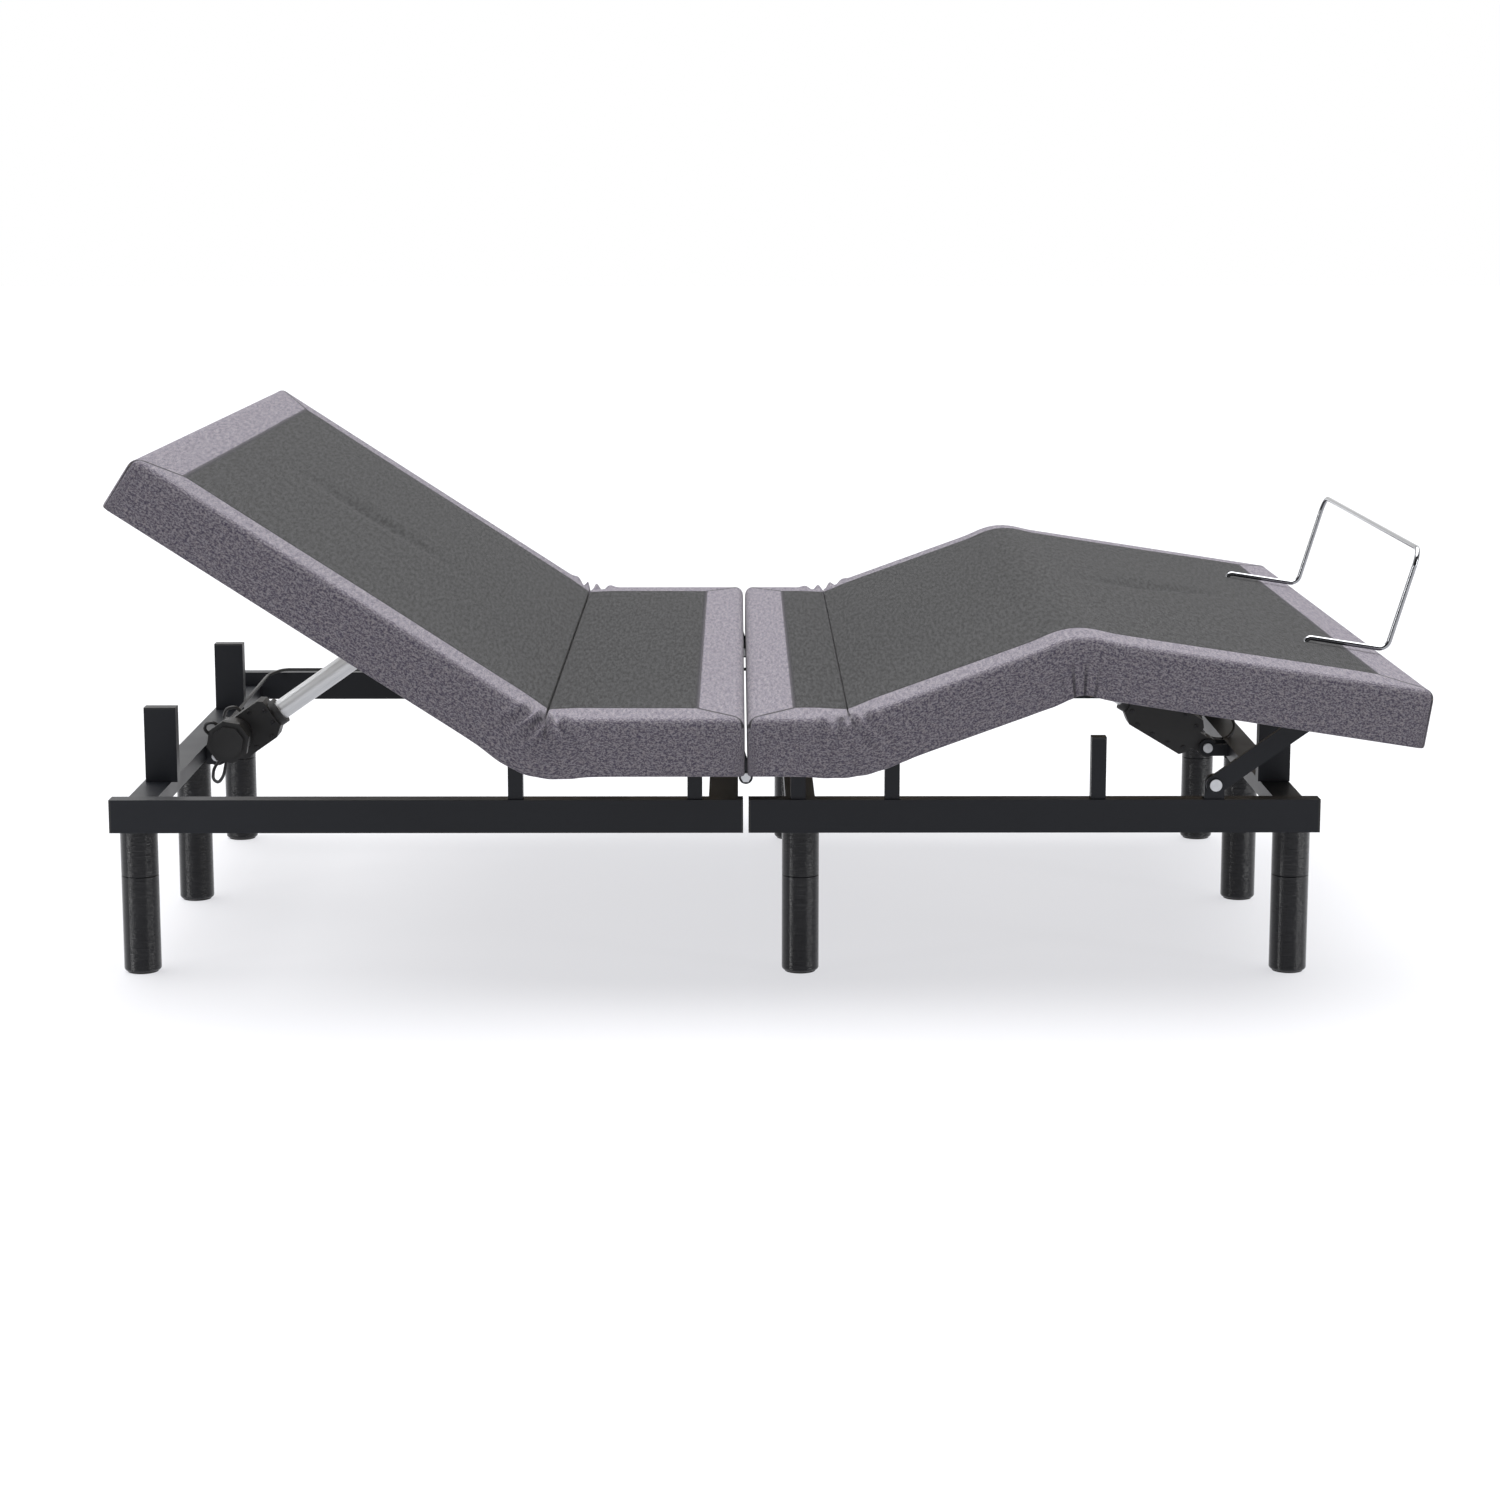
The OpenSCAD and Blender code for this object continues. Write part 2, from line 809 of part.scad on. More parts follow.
tube_r = 17;
rod_r = 13;
tube_bore = rod_r + 1;
eye_y = 15;
rod_eye_r = 13.5;
housing_y = 27;
boss_y = 19;

// A cylinder along a ram
module along(x, r) {
    translate([x[0], 0, 0])
        rotate([0, 90, 0])
            cylinder(h = x[1] - x[0], r = r);
}

// The gear housing: a rear boss on the pin, a deep body and a collar for the outer tube
module gearbox(body, low, high) {
    color(nylon)
        difference() {
            union() {
                bar_y(0, 0, 17, [-boss_y, boss_y]);
                block([0, body[0] + 8], [-boss_y, boss_y], [-14, 15]);
                plate_y([-housing_y, housing_y])
                    polygon([[body[0], low + 14], [body[0] + 12, low], [body[1] - 16, low],
                             [body[1], low + 12], [body[1], high - 6], [body[1] - 8, high],
                             [body[0] + 8, high], [body[0], high - 10]]);
                along([body[1] - 1, body[1] + 12], tube_r + 6);
            }
            bar_y(0, 0, ram_pin_r + run_fit, [-boss_y - 1, boss_y + 1]);
            along([body[0] + 30, body[1] + 13], tube_r);
        }
}

// The motor stands across the ram, out of one side of the gear housing
motor_x = 45;
motor_z = 12;
module motor(side) {
    color(nylon)
        mirror([0, side > 0 ? 1 : 0, 0]) {
            bar_y(motor_x, motor_z, 31, [-80, -housing_y]);
            translate([motor_x, -80, motor_z])
                rotate([90, 0, 0])
                    rotate([0, 0, 22.5])
                        cylinder(h = 16, r = 36, $fn = 8);
            translate([motor_x, -96, motor_z])
                rotate([90, 0, 0])
                    rotate([0, 0, 22.5])
                        cylinder(h = 4, r = 27, $fn = 8);
        }
}

module outer_tube(x) {
    color(steel)
        difference() {
            along(x, tube_r);
            along([x[0] - 1, x[1] + 1], tube_bore);
        }
}

// The inner rod: a round bar that ends in an eye for the cross pin
module rod(start, length) {
    color(steel)
        difference() {
            union() {
                along([start, length - 8], rod_r);
                bar_y(length, 0, rod_eye_r, [-eye_y, eye_y]);
            }
            bar_y(length, 0, rod_pin_r + run_fit, [-eye_y - 2, eye_y + 2]);
        }
}

module rod_pin(length) {
    color(steel) {
        bar_y(length, 0, rod_pin_r, [-lift_y[1] - 5, lift_y[1] + 5]);
        both_sides() {
            bar_y(length, 0, 11, [lift_y[1] + 1, lift_y[1] + 4]);
            bar_y(length, 0, 9.5, [eye_y + 0.5, lift_y[0] - 1]);
        }
    }
}

head_body = [24, 118];
foot_body = [24, 150];
head_tube_end = 284;
foot_tube_end = 308;
module head_gearbox() { at_head_ram() gearbox(head_body, -32, 36); }
module head_motor() { at_head_ram() motor(-1); }
module head_outer_tube() { at_head_ram() outer_tube([head_body[0] + 30, head_tube_end]); }
module head_rod() { at_head_ram() rod(head_ram_len - 252, head_ram_len); }
module head_rod_pin() { at_head_ram() rod_pin(head_ram_len); }
module foot_gearbox() { at_foot_ram() gearbox(foot_body, -34, 36); }
module foot_motor() { at_foot_ram() motor(1); }
module foot_outer_tube() { at_foot_ram() outer_tube([foot_body[0] + 30, foot_tube_end]); }
module foot_rod() { at_foot_ram() rod(foot_ram_len - 175, foot_ram_len); }
module foot_rod_pin() { at_foot_ram() rod_pin(foot_ram_len); }

// ---------- retainer bar ----------

// A bend in the round bar, in the XY plane about the origin
module bend(radius, angle) {
    rotate_extrude(angle = angle, $fn = 96)
        translate([radius, 0])
            circle(r = bar_r, $fn = 32);
}

// One leg of the bar, at Y = 0: into the deck, along it, then up
module bar_leg() {
    rise = 90 - bar_tilt;
    // down into the socket
    translate([bar_in_x, 0, deck_top - socket_depth])
        cylinder(h = socket_depth + bar_lift + bar_r - socket_bend_r, r = bar_r, $fn = 32);
    translate([bar_in_x + socket_bend_r, 0, bar_z - socket_bend_r])
        rotate([90, 0, 0]) rotate([0, 0, 90])
            bend(socket_bend_r, 90);
    // along the deck
    translate([bar_in_x + socket_bend_r, 0, bar_z])
        rotate([0, 90, 0])
            cylinder(h = bar_out_x - bend_r - bar_in_x - socket_bend_r, r = bar_r, $fn = 32);
    // the bend at the deck's end
    translate([bar_out_x - bend_r, 0, bar_z + bend_r])
        rotate([90, 0, 0]) rotate([0, 0, -90])
            bend(bend_r, rise);
}

module retainer_bar() {
    color(steel) at_foot() {
        both_sides()
            translate([0, half_bar, 0]) bar_leg();
        translate([bar_up[0], 0, bar_up[1]])
            rotate([0, bar_tilt, 0]) {
                both_sides() {
                    translate([0, half_bar, 0])
                        cylinder(h = bar_up_len, r = bar_r, $fn = 32);
                    translate([0, half_bar - top_bend_r, bar_up_len])
                        rotate([90, 0, 90])
                            bend(top_bend_r, 90);
                }
                translate([0, -(half_bar - top_bend_r), bar_top])
                    rotate([-90, 0, 0])
                        cylinder(h = bar_w - 2 * top_bend_r, r = bar_r, $fn = 32);
            }
    }
}

// Steel rosettes where the bar's ends go through the fabric into the board
module bar_sockets() {
    color(steel) at_foot() both_sides()
        translate([bar_in_x, half_bar, deck_top])
            difference() {
                cylinder(h = 1.5, r = 11);
                translate([0, 0, -1]) cylinder(h = 4, r = bar_r + 0.3);
            }
}

// ---------- electrics ----------

box_x = [-215, -65];
box_y = [120, 220];
box_z = [board_z - 46, board_z];
module control_box() {
    color(nylon) at_bed() {
        block(box_x, box_y, box_z);
        for (i = [0 : 3])
            translate([box_x[0] - 8, box_y[0] + 20 + 20 * i, box_z[0] + 18])
                rotate([0, 90, 0]) cylinder(h = 9, r = 6);
    }
}

cable_r = 3;
head_cable = [
    [-224, 140, 384], [-245, 140, 378], [-262, 150, 330], [-262, 590, 305], [-300, 605, 300],
    [-860, 605, 300], [-885, 590, 292], [-885, 130, 285], [-885, 60, 300], [-878, 44, 318],
    [-862, 44, 322], [-850, 44, 310]
];
foot_cable = [
    [-224, 160, 384], [-238, 166, 360], [-238, 560, 322], [-200, 605, 300], [-40, 605, 300],
    [560, 605, 300], [780, 605, 300], [802, 590, 292], [802, 190, 285], [800, 130, 300],
    [770, 118, 330], [745, 112, 340]
];

// The sweep's reference direction, which no stretch of either route lies along
cable_ref = [1, 0.35, 0.6];
cable_sides = 8;
cable_bend = 26;
function unit(v) = v / norm(v);

// Three points round a corner of a route, from one straight stretch to the next
function corner(a, p, b) =
    let (cut = min(cable_bend, norm(a - p) * 0.45, norm(b - p) * 0.45),
         s = p + unit(a - p) * cut,
         e = p + unit(b - p) * cut)
    [s, (s + 2 * p + e) / 4, e];
function rounded(path) = concat(
    [path[0]],
    [for (i = [1 : len(path) - 2], q = corner(path[i - 1], path[i], path[i + 1])) q],
    [path[len(path) - 1]]
);
function heading(p, i) = unit(p[min(i + 1, len(p) - 1)] - p[max(i - 1, 0)]);

// A cable swept along its route
module cable(path) {
    p = rounded(path);
    last = len(p) - 1;
    n = cable_sides;
    points = [for (i = [0 : last])
        let (t = heading(p, i), u = unit(cross(t, cable_ref)), v = cross(t, u))
        for (k = [0 : n - 1])
            p[i] + cable_r * (cos(360 * k / n) * u + sin(360 * k / n) * v)];
    walls = [for (i = [0 : last - 1], k = [0 : n - 1])
        let (a = i * n + k, b = i * n + (k + 1) % n) [a, a + n, b + n, b]];
    start = [for (k = [0 : n - 1]) k];
    end = [for (k = [n - 1 : -1 : 0]) last * n + k];
    polyhedron(points = points, faces = concat(walls, [start, end]), convexity = 6);
}
module head_motor_cable() { color(nylon) at_bed() cable(head_cable); }
module foot_motor_cable() { color(nylon) at_bed() cable(foot_cable); }

// ---------- the assembly ----------

rail_head_right();
rail_head_left();
rail_foot_right();
rail_foot_left();
cross_head_end();
cross_head_mid();
cross_foot_mid();
cross_foot_end();
rail_plugs();
end_uprights();
seat_posts();
rest_pads();
leg_collars();
leg_tubes();
leg_glides();
leg_studs();
seat_frame_head();
seat_frame_foot();
centre_ears();
centre_bolts();
seat_board_head();
seat_board_foot();
seat_sides_head();
seat_sides_foot();
seat_padding_head();
seat_padding_foot();
hinge_pins();
ram_pins();
link_brackets();
link_bolts();
control_box();
head_motor_cable();
foot_motor_cable();
head_frame();
head_board();
head_sides();
head_padding();
head_gearbox();
head_motor();
head_outer_tube();
head_rod();
head_rod_pin();
thigh_frame();
thigh_board();
thigh_sides();
thigh_padding();
knee_pins();
foot_frame();
foot_board();
foot_sides();
foot_padding();
retainer_bar();
bar_sockets();
foot_links();
link_pins();
foot_gearbox();
foot_motor();
foot_outer_tube();
foot_rod();
foot_rod_pin();
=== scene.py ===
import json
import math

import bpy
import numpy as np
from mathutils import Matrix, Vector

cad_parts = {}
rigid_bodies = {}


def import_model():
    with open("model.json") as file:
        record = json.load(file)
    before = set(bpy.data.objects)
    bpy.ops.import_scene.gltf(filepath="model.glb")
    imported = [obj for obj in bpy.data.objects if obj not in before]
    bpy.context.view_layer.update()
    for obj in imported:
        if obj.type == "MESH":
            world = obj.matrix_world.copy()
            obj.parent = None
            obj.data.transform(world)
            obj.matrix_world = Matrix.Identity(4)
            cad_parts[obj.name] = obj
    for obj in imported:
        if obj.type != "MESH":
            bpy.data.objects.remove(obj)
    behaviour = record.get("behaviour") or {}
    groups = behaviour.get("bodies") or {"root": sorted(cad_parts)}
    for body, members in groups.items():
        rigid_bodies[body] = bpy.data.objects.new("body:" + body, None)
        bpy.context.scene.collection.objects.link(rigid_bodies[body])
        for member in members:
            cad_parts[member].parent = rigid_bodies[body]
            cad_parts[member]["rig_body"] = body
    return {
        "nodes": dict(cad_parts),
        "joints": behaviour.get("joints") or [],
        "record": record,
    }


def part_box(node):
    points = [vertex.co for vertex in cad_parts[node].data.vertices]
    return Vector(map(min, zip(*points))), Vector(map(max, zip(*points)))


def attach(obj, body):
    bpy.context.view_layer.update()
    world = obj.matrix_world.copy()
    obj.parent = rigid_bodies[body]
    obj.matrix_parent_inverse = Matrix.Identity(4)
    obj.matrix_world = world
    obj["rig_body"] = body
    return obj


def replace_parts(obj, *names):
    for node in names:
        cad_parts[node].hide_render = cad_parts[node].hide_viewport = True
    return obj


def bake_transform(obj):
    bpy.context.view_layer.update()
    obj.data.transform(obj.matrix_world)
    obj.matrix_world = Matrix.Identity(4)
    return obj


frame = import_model()

# %% [markdown]
# # An adjustable bed base
#
# The frame is already in the scene: every steel, wooden and plastic part stands in its place
# and hangs from the body that carries it. What is left is the look. This lesson dresses the
# steel and plastic in finishes, sews the upholstery over the four folding deck boards, lets it
# crumple at the hinges as cloth, and runs smooth cables along the rails.
# Everything is in metres: X runs from head to foot, Y across the bed, Z up from the floor.

scene = bpy.context.scene
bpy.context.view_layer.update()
nodes = frame["nodes"]
joints = {joint["name"]: joint for joint in frame["joints"]}

# %% [markdown]
# ## Camera
#
# The bed is seen from its long right side, a little above deck height, from over five metres
# away. A long lens keeps the near and the far rail almost parallel, as a catalogue view does.
# The camera looks down by ten degrees, with no shift and no blur.

# %% Set the camera
view = bpy.data.cameras.new("view")
view.lens = 78.06
view.sensor_width = 36
camera = bpy.data.objects.new("view", view)
camera.location = (-0.0593, -5.3937, 1.2115)
camera.rotation_euler = (math.radians(90 - 10.063), 0, math.radians(-0.215))
scene.collection.objects.link(camera)
scene.camera = camera
scene.view_settings.view_transform = "Standard"
print("camera stands", round(-camera.location.y, 2), "m in front of the bed's middle")

# %% [markdown]
# ## Shader sums that read as Python
#
# A material is a web of small boxes. Wiring them by hand takes a page for one formula, so one
# class stands for a wire. Adding, multiplying or comparing two wires adds the Math box that
# does it, and the result is a wire again. A second class is the material: it adds any other
# box from its type, its settings and what goes into its sockets.

# %% Wires and finishes
class Wire:
    """A value on its way through a material. Sums on wires add Math nodes."""

    def __init__(self, finish, socket):
        self.finish = finish
        self.socket = socket

    def sum(self, operation, *parts):
        return self.finish.add("ShaderNodeMath", {"operation": operation}, dict(enumerate(parts)))

    def __add__(self, other):
        return self.sum("ADD", self, other)

    def __sub__(self, other):
        return self.sum("SUBTRACT", self, other)

    def __rsub__(self, other):
        return self.sum("SUBTRACT", other, self)

    def __mul__(self, other):
        return self.sum("MULTIPLY", self, other)

    def __truediv__(self, other):
        return self.sum("DIVIDE", self, other)

    def __gt__(self, other):
        return self.sum("GREATER_THAN", self, other)

    def __lt__(self, other):
        return self.sum("LESS_THAN", self, other)

    def __abs__(self):
        return self.sum("ABSOLUTE", self)

    def least(self, other):
        return self.sum("MINIMUM", self, other)

    def most(self, other):
        return self.sum("MAXIMUM", self, other)

    def wave(self, pitch):
        return self.sum("SINE", self * (2 * math.pi / pitch))

    __radd__ = __add__
    __rmul__ = __mul__


class Finish:
    """One material, built round a single Principled shader."""

    def __init__(self, name):
        self.material = bpy.data.materials.new(name)
        self.material.use_nodes = True
        self.tree = self.material.node_tree
        self.shader = self.tree.nodes["Principled BSDF"]

    def put(self, socket, value):
        if isinstance(value, Wire):
            self.tree.links.new(value.socket, socket)
        elif socket.type == "RGBA" and len(value) == 3:
            socket.default_value = (*value, 1)
        else:
            socket.default_value = value

    def add(self, kind, settings=None, values=None, out=0):
        """A node of any type: settings first, then what goes into its sockets."""
        node = self.tree.nodes.new(kind)
        for name, value in (settings or {}).items():
            setattr(node, name, value)
        for name, value in (values or {}).items():
            self.put(node.inputs[name], value)
        return Wire(self, node.outputs[out])

    def set(self, **values):
        """Sets the shader's sockets; an underscore in a name stands for a space."""
        for name, value in values.items():
            self.put(self.shader.inputs[name.replace("_", " ")], value)

    def place(self):
        return self.add("ShaderNodeTexCoord", out="Object")

    def blend(self, share, low, high):
        """A colour between two others."""
        return self.add("ShaderNodeMix", {"data_type": "RGBA"}, {0: share, 6: low, 7: high}, 2)

    def vector(self, operation, first, second, out=0):
        return self.add("ShaderNodeVectorMath", {"operation": operation}, {0: first, 1: second}, out)

    def stretch(self, where, factors):
        return self.vector("MULTIPLY", where, factors)

    def noise(self, where, scale, detail=2.0, rough=0.5):
        """Cloudy noise from 0 to 1; scale is how many clouds there are in a metre."""
        return self.add(
            "ShaderNodeTexNoise",
            {},
            {"Vector": where, "Scale": scale, "Detail": detail, "Roughness": rough},
        )

    def steps(self, value, low, high):
        """0 below low, 1 above high and a smooth rise between them."""
        return self.add(
            "ShaderNodeMapRange",
            {"interpolation_type": "SMOOTHSTEP"},
            {"Value": value, "From Min": low, "From Max": high},
        )

    def bump(self, height, depth, strength=1.0):
        """Raises the surface by height (0 to 1) times depth in metres."""
        self.set(
            Normal=self.add(
                "ShaderNodeBump", {}, {"Height": height, "Distance": depth, "Strength": strength}
            )
        )


finishes = {}
print("shader helpers ready")

# %% [markdown]
# ## Powder coat on the steel frame
#
# The rails, uprights and sub-frames are welded steel tube with a black powder coat. Powder melts
# into a skin with a faint orange-peel ripple, and it is satin rather than glossy. A fine noise
# gives the ripple, and a slow one shifts the gloss a little from place to place, as handling does.

# %% Powder coat
coat = Finish("frame_black")
where = coat.place()
handling = coat.noise(where, 9, 3)
coat.set(
    Base_Color=coat.blend(handling, (0.0055, 0.0064, 0.009), (0.0095, 0.0108, 0.0145)),
    Roughness=0.36 + handling * 0.16,
    Specular_IOR_Level=0.25,
)
coat.bump(coat.noise(where, 1500, 1), 0.00006, 0.5)
finishes["frame_black"] = coat.material
print("powder coat made")

# %% [markdown]
# ## Moulded plastic
#
# The two drives and the control box are moulded in black nylon. The mould is spark-eroded, so
# the skin has a fine even grain and little gloss. The legs are black too, but turned and polished.
# Turning leaves very fine rings round them, which spread a reflection up and down the leg.

# %% Grained and polished plastic
grained = Finish("black_plastic")
where = grained.place()
cloudy = grained.noise(where, 25, 3)
grained.set(
    Base_Color=grained.blend(cloudy, (0.0065, 0.0065, 0.0072), (0.0125, 0.0125, 0.0135)),
    Roughness=0.42 + cloudy * 0.2,
    Specular_IOR_Level=0.45,
)
grained.bump(grained.noise(where, 1100, 2), 0.00012, 0.6)
finishes["black_plastic"] = grained.material

polished = Finish("leg_plastic")
where = polished.place()
smears = polished.noise(polished.stretch(where, (1, 1, 0.25)), 30, 3)
polished.set(
    Base_Color=(0.003, 0.0032, 0.0048),
    Roughness=0.08 + smears * 0.06,
    Specular_IOR_Level=0.4,
)
rings = polished.noise(polished.stretch(where, (0.01, 0.01, 1)), 2600, 0)
polished.bump(rings, 0.00028)
finishes["leg_plastic"] = polished.material

glide = Finish("glide")
where = glide.place()
felt = glide.noise(where, 700, 3, 0.7)
glide.set(Base_Color=glide.blend(felt, (0.012, 0.012, 0.012), (0.035, 0.034, 0.033)), Roughness=0.9)
glide.bump(felt, 0.0004, 0.8)
finishes["glide"] = glide.material
print("plastics made")

# %% [markdown]
# ## Bright metal
#
# Bolts and pins are zinc plated: grey, slightly blotchy, half dull. The rams' outer tubes are
# drawn and brushed along their length, so their scratches are long threads. Threads come from
# noise whose space is squeezed along the tube: the part of the place that lies along the ram's
# own direction is nearly taken out of it. The retainer bar is chromed, with a faint haze, and
# the drives' screws are blackened steel.

# %% Zinc, blackened steel, brushed tube and chrome
zinc = Finish("zinc")
where = zinc.place()
plating = zinc.noise(where, 160, 3)
zinc.set(
    Base_Color=zinc.blend(plating, (0.42, 0.43, 0.45), (0.63, 0.64, 0.66)),
    Metallic=1.0,
    Roughness=0.26 + plating * 0.2,
)
zinc.bump(zinc.noise(where, 900, 2), 0.00005, 0.5)
finishes["zinc"] = zinc.material

blackened = Finish("dark_screw")
where = blackened.place()
oxide = blackened.noise(where, 300, 2)
blackened.set(
    Base_Color=blackened.blend(oxide, (0.03, 0.03, 0.032), (0.055, 0.055, 0.058)),
    Metallic=1.0,
    Roughness=0.3 + oxide * 0.15,
)
blackened.bump(blackened.noise(where, 900, 2), 0.00004, 0.4)


def brushed(name, along, light, dark):
    """Metal brushed in one direction, given as a unit vector."""
    tube = Finish(name)
    where = tube.place()
    share = tube.vector("DOT_PRODUCT", where, along, "Value")
    drawn = tube.add("ShaderNodeVectorMath", {"operation": "SCALE"}, {0: along, "Scale": share * 0.985})
    threads = tube.noise(tube.vector("SUBTRACT", where, drawn), 650, 3, 0.6)
    tube.set(
        Base_Color=tube.blend(threads, dark, light),
        Metallic=0.55,
        Roughness=0.24 + threads * 0.2,
    )
    tube.bump(threads, 0.00003, 0.5)
    return tube.material


ram_metal = {
    ram: brushed(ram + "_steel", joints[ram + "_stroke"]["axis"], (0.72, 0.73, 0.75), (0.55, 0.56, 0.58))
    for ram in ("head_ram", "foot_ram")
}

chrome = Finish("chrome_bar")
where = chrome.place()
haze = chrome.noise(where, 60, 4)
chrome.set(
    Base_Color=chrome.blend(haze, (0.22, 0.225, 0.235), (0.34, 0.345, 0.36)),
    Metallic=1.0,
    Roughness=0.1 + haze * 0.1,
)
chrome.bump(chrome.noise(where, 500, 2), 0.00001, 0.4)
finishes["chrome_bar"] = chrome.material
print("metals made for", sorted(ram_metal))

# %% [markdown]
# ## Wood under the upholstery
#
# The deck boards are plywood and the side boards are pine. Both show only from below and behind.
# Grain is noise stretched along the board: slow along X, quick across it. Plywood is paler and
# calmer, and pine has stronger late-wood lines.

# %% Plywood and pine
def grained_wood(name, pale, dark, rings, contrast):
    """Wood with its grain along X; rings is how close the late-wood lines are."""
    wood = Finish(name)
    where = wood.place()
    drift = wood.noise(wood.stretch(where, (1.2, 5, 5)), 2, 3)
    lines = wood.noise(wood.stretch(where, (1.5, rings, rings)), 4, 5, 0.6)
    fibre = wood.noise(wood.stretch(where, (12, 400, 400)), 3, 2)
    share = wood.steps(lines + drift * 0.35, 0.45, 0.45 + contrast)
    wood.set(
        Base_Color=wood.blend(share * 0.75 + fibre * 0.2, pale, dark),
        Roughness=0.62 + fibre * 0.18,
    )
    wood.bump(fibre, 0.0003, 0.4)
    return wood.material


finishes["plywood"] = grained_wood("plywood", (0.42, 0.345, 0.25), (0.29, 0.225, 0.15), 16, 0.5)
finishes["pine"] = grained_wood("pine", (0.46, 0.37, 0.25), (0.28, 0.19, 0.11), 30, 0.3)
print("woods made")

# %% [markdown]
# ## Cable sheath
#
# The low-voltage leads are black PVC: soft, half matte, with a slight drawn texture.

# %% Sheath
sheath = Finish("cable")
where = sheath.place()
drawn = sheath.noise(where, 120, 2)
sheath.set(
    Base_Color=sheath.blend(drawn, (0.008, 0.008, 0.009), (0.016, 0.016, 0.017)),
    Roughness=0.45 + drawn * 0.15,
)
sheath.bump(sheath.noise(where, 900, 1), 0.00005, 0.5)
finishes["cable"] = sheath.material
print("sheath made")

# %% [markdown]
# ## Dress the frame
#
# The record says which finish each part of the frame has. Assigning it to the part's own
# material slots keeps the mesh untouched. A ram's tube and rod take the brushed metal that
# runs along that ram.

# %% Give each part its finish
slot_of = {part["node"]: part["material_slot"] for part in frame["record"]["subparts"]}
for name, part in nodes.items():
    slot = slot_of[name]
    if slot == "ram_steel":
        finish = ram_metal["foot_ram" if name.startswith("foot") else "head_ram"]
    else:
        finish = finishes.get(slot)
    if finish:
        part.data.materials.clear()
        part.data.materials.append(finish)
print("dressed", len(nodes), "parts in", len(set(slot_of.values())), "finishes")

# %% [markdown]
# ## Where the deck folds
#
# The upholstery is cut and sewn flat and only then folded with the deck. So it is modelled the
# same way: every point has a place on the flat deck, and a fold takes it to where the raised
# deck holds it. A joint's lowest or highest value is the flat deck, so the angle of each fold
# comes from the joints.

# %% Hinges on the flat deck
def turn_about(points, place, degrees):
    """Points turned about the line along Y through place, each by its own angle."""
    angle = np.radians(degrees)
    x, z = points[:, 0] - place[0], points[:, 2] - place[2]
    return np.column_stack(
        (
            place[0] + x * np.cos(angle) + z * np.sin(angle),
            points[:, 1],
            place[2] - x * np.sin(angle) + z * np.cos(angle),
        )
    )


def flat_angle(name):
    """How far a joint has to turn about +Y from rest to lay the deck flat."""
    joint = joints[name]
    low, high = joint["range_deg"]
    return (high if name == "knee_fold" else low) * joint["axis"][1]


head_fold, thigh_fold, knee_fold = (
    flat_angle(name) for name in ("head_lift", "thigh_lift", "knee_fold")
)
head_place, thigh_place, knee_rest = (
    np.array(joints[name]["pos_m"]) for name in ("head_lift", "thigh_lift", "knee_fold")
)
knee_place = turn_about(knee_rest[None], thigh_place, thigh_fold)[0]
print("folds in degrees:", round(head_fold, 1), round(thigh_fold, 1), round(knee_fold, 1))


def flat_span(name):
    """Lowest and highest X of a deck part when the deck lies flat."""
    part = nodes[name]
    points = np.array([v.co for v in part.data.vertices])
    body = part["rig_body"]
    if body == "foot_section":
        points = turn_about(points, knee_rest, knee_fold)
    if body in ("foot_section", "thigh_section"):
        points = turn_about(points, thigh_place, thigh_fold)
    if body == "head_section":
        points = turn_about(points, head_place, head_fold)
    return points[:, 0].min(), points[:, 0].max()


seat_low, seat_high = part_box("seat_padding_head")
half_width = seat_high.y
deck_top = seat_high.z
skirt_depth = seat_high.z - seat_low.z
head_end = flat_span("head_padding")[0]
foot_end = flat_span("foot_padding")[1]
bulge = 0.0022
gap_low, gap_high = seat_high.x + bulge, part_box("seat_padding_foot")[0].x - bulge
mid_thigh = (thigh_place[0] + knee_place[0]) / 2
print("flat deck runs from", round(head_end, 3), "to", round(foot_end, 3), "m")

# %% [markdown]
# ## The fold itself
#
# Over a hollow fold, such as the one behind the sleeper's back, the two top faces meet and the
# spare cloth between them goes down into a tight crease. At the deck's edge and down its side
# there is nothing to tuck it into, so it bends in a wide curve and bunches. Over the knee the
# top simply arches. The edge, the side and the knee are each one turn about the hinge, shared
# out along the deck, and on the side of a hollow fold the turn is wider lower down.

# %% Fold the flat deck
def smooth(share):
    share = np.clip(share, 0, 1)
    return share * share * (3 - 2 * share)


edge_round = 0.016
pleat_pitch = 0.021
crease_reach = 0.028
skirt_reach = 0.085
knee_reach = 0.055


def bend_over(points, place, degrees, past, narrow, wide):
    """Turns what lies past a hinge. past is -1 for the head's side and 1 for the foot's."""
    along = (points[:, 0] - place[0]) * past
    up = (points[:, 2] - place[2]) / (deck_top - place[2])
    reach = narrow + (wide - narrow) * np.clip((1 - up) / 2, 0, 1)
    return turn_about(points, place, degrees * smooth(0.5 + along / (2 * reach)))


def tuck_in(points, place, degrees, past):
    """A hollow fold's top: flat faces that meet, and the spare cloth straight down between them."""
    along = (points[:, 0] - place[0]) * past
    up = points[:, 2] - place[2]
    half = math.radians(abs(degrees) / 2)
    shoulder = up * math.tan(half)
    turned = turn_about(points, place, degrees * (along > 0))
    middle = np.array((-past * math.sin(half), 0, math.cos(half)))
    across = np.array((past * math.cos(half), 0, math.sin(half)))
    depth = np.clip(shoulder - np.abs(along), 0, None)
    lips = np.sign(along)[:, None] * across * (0.0006 + 0.0012 * np.exp(-depth / 0.002))[:, None]
    valley = place + middle * (up / math.cos(half) - depth)[:, None] + lips
    valley[:, 1] = points[:, 1]
    inside = (depth > 0) & (up > 0)
    return np.where(inside[:, None], valley, turned)


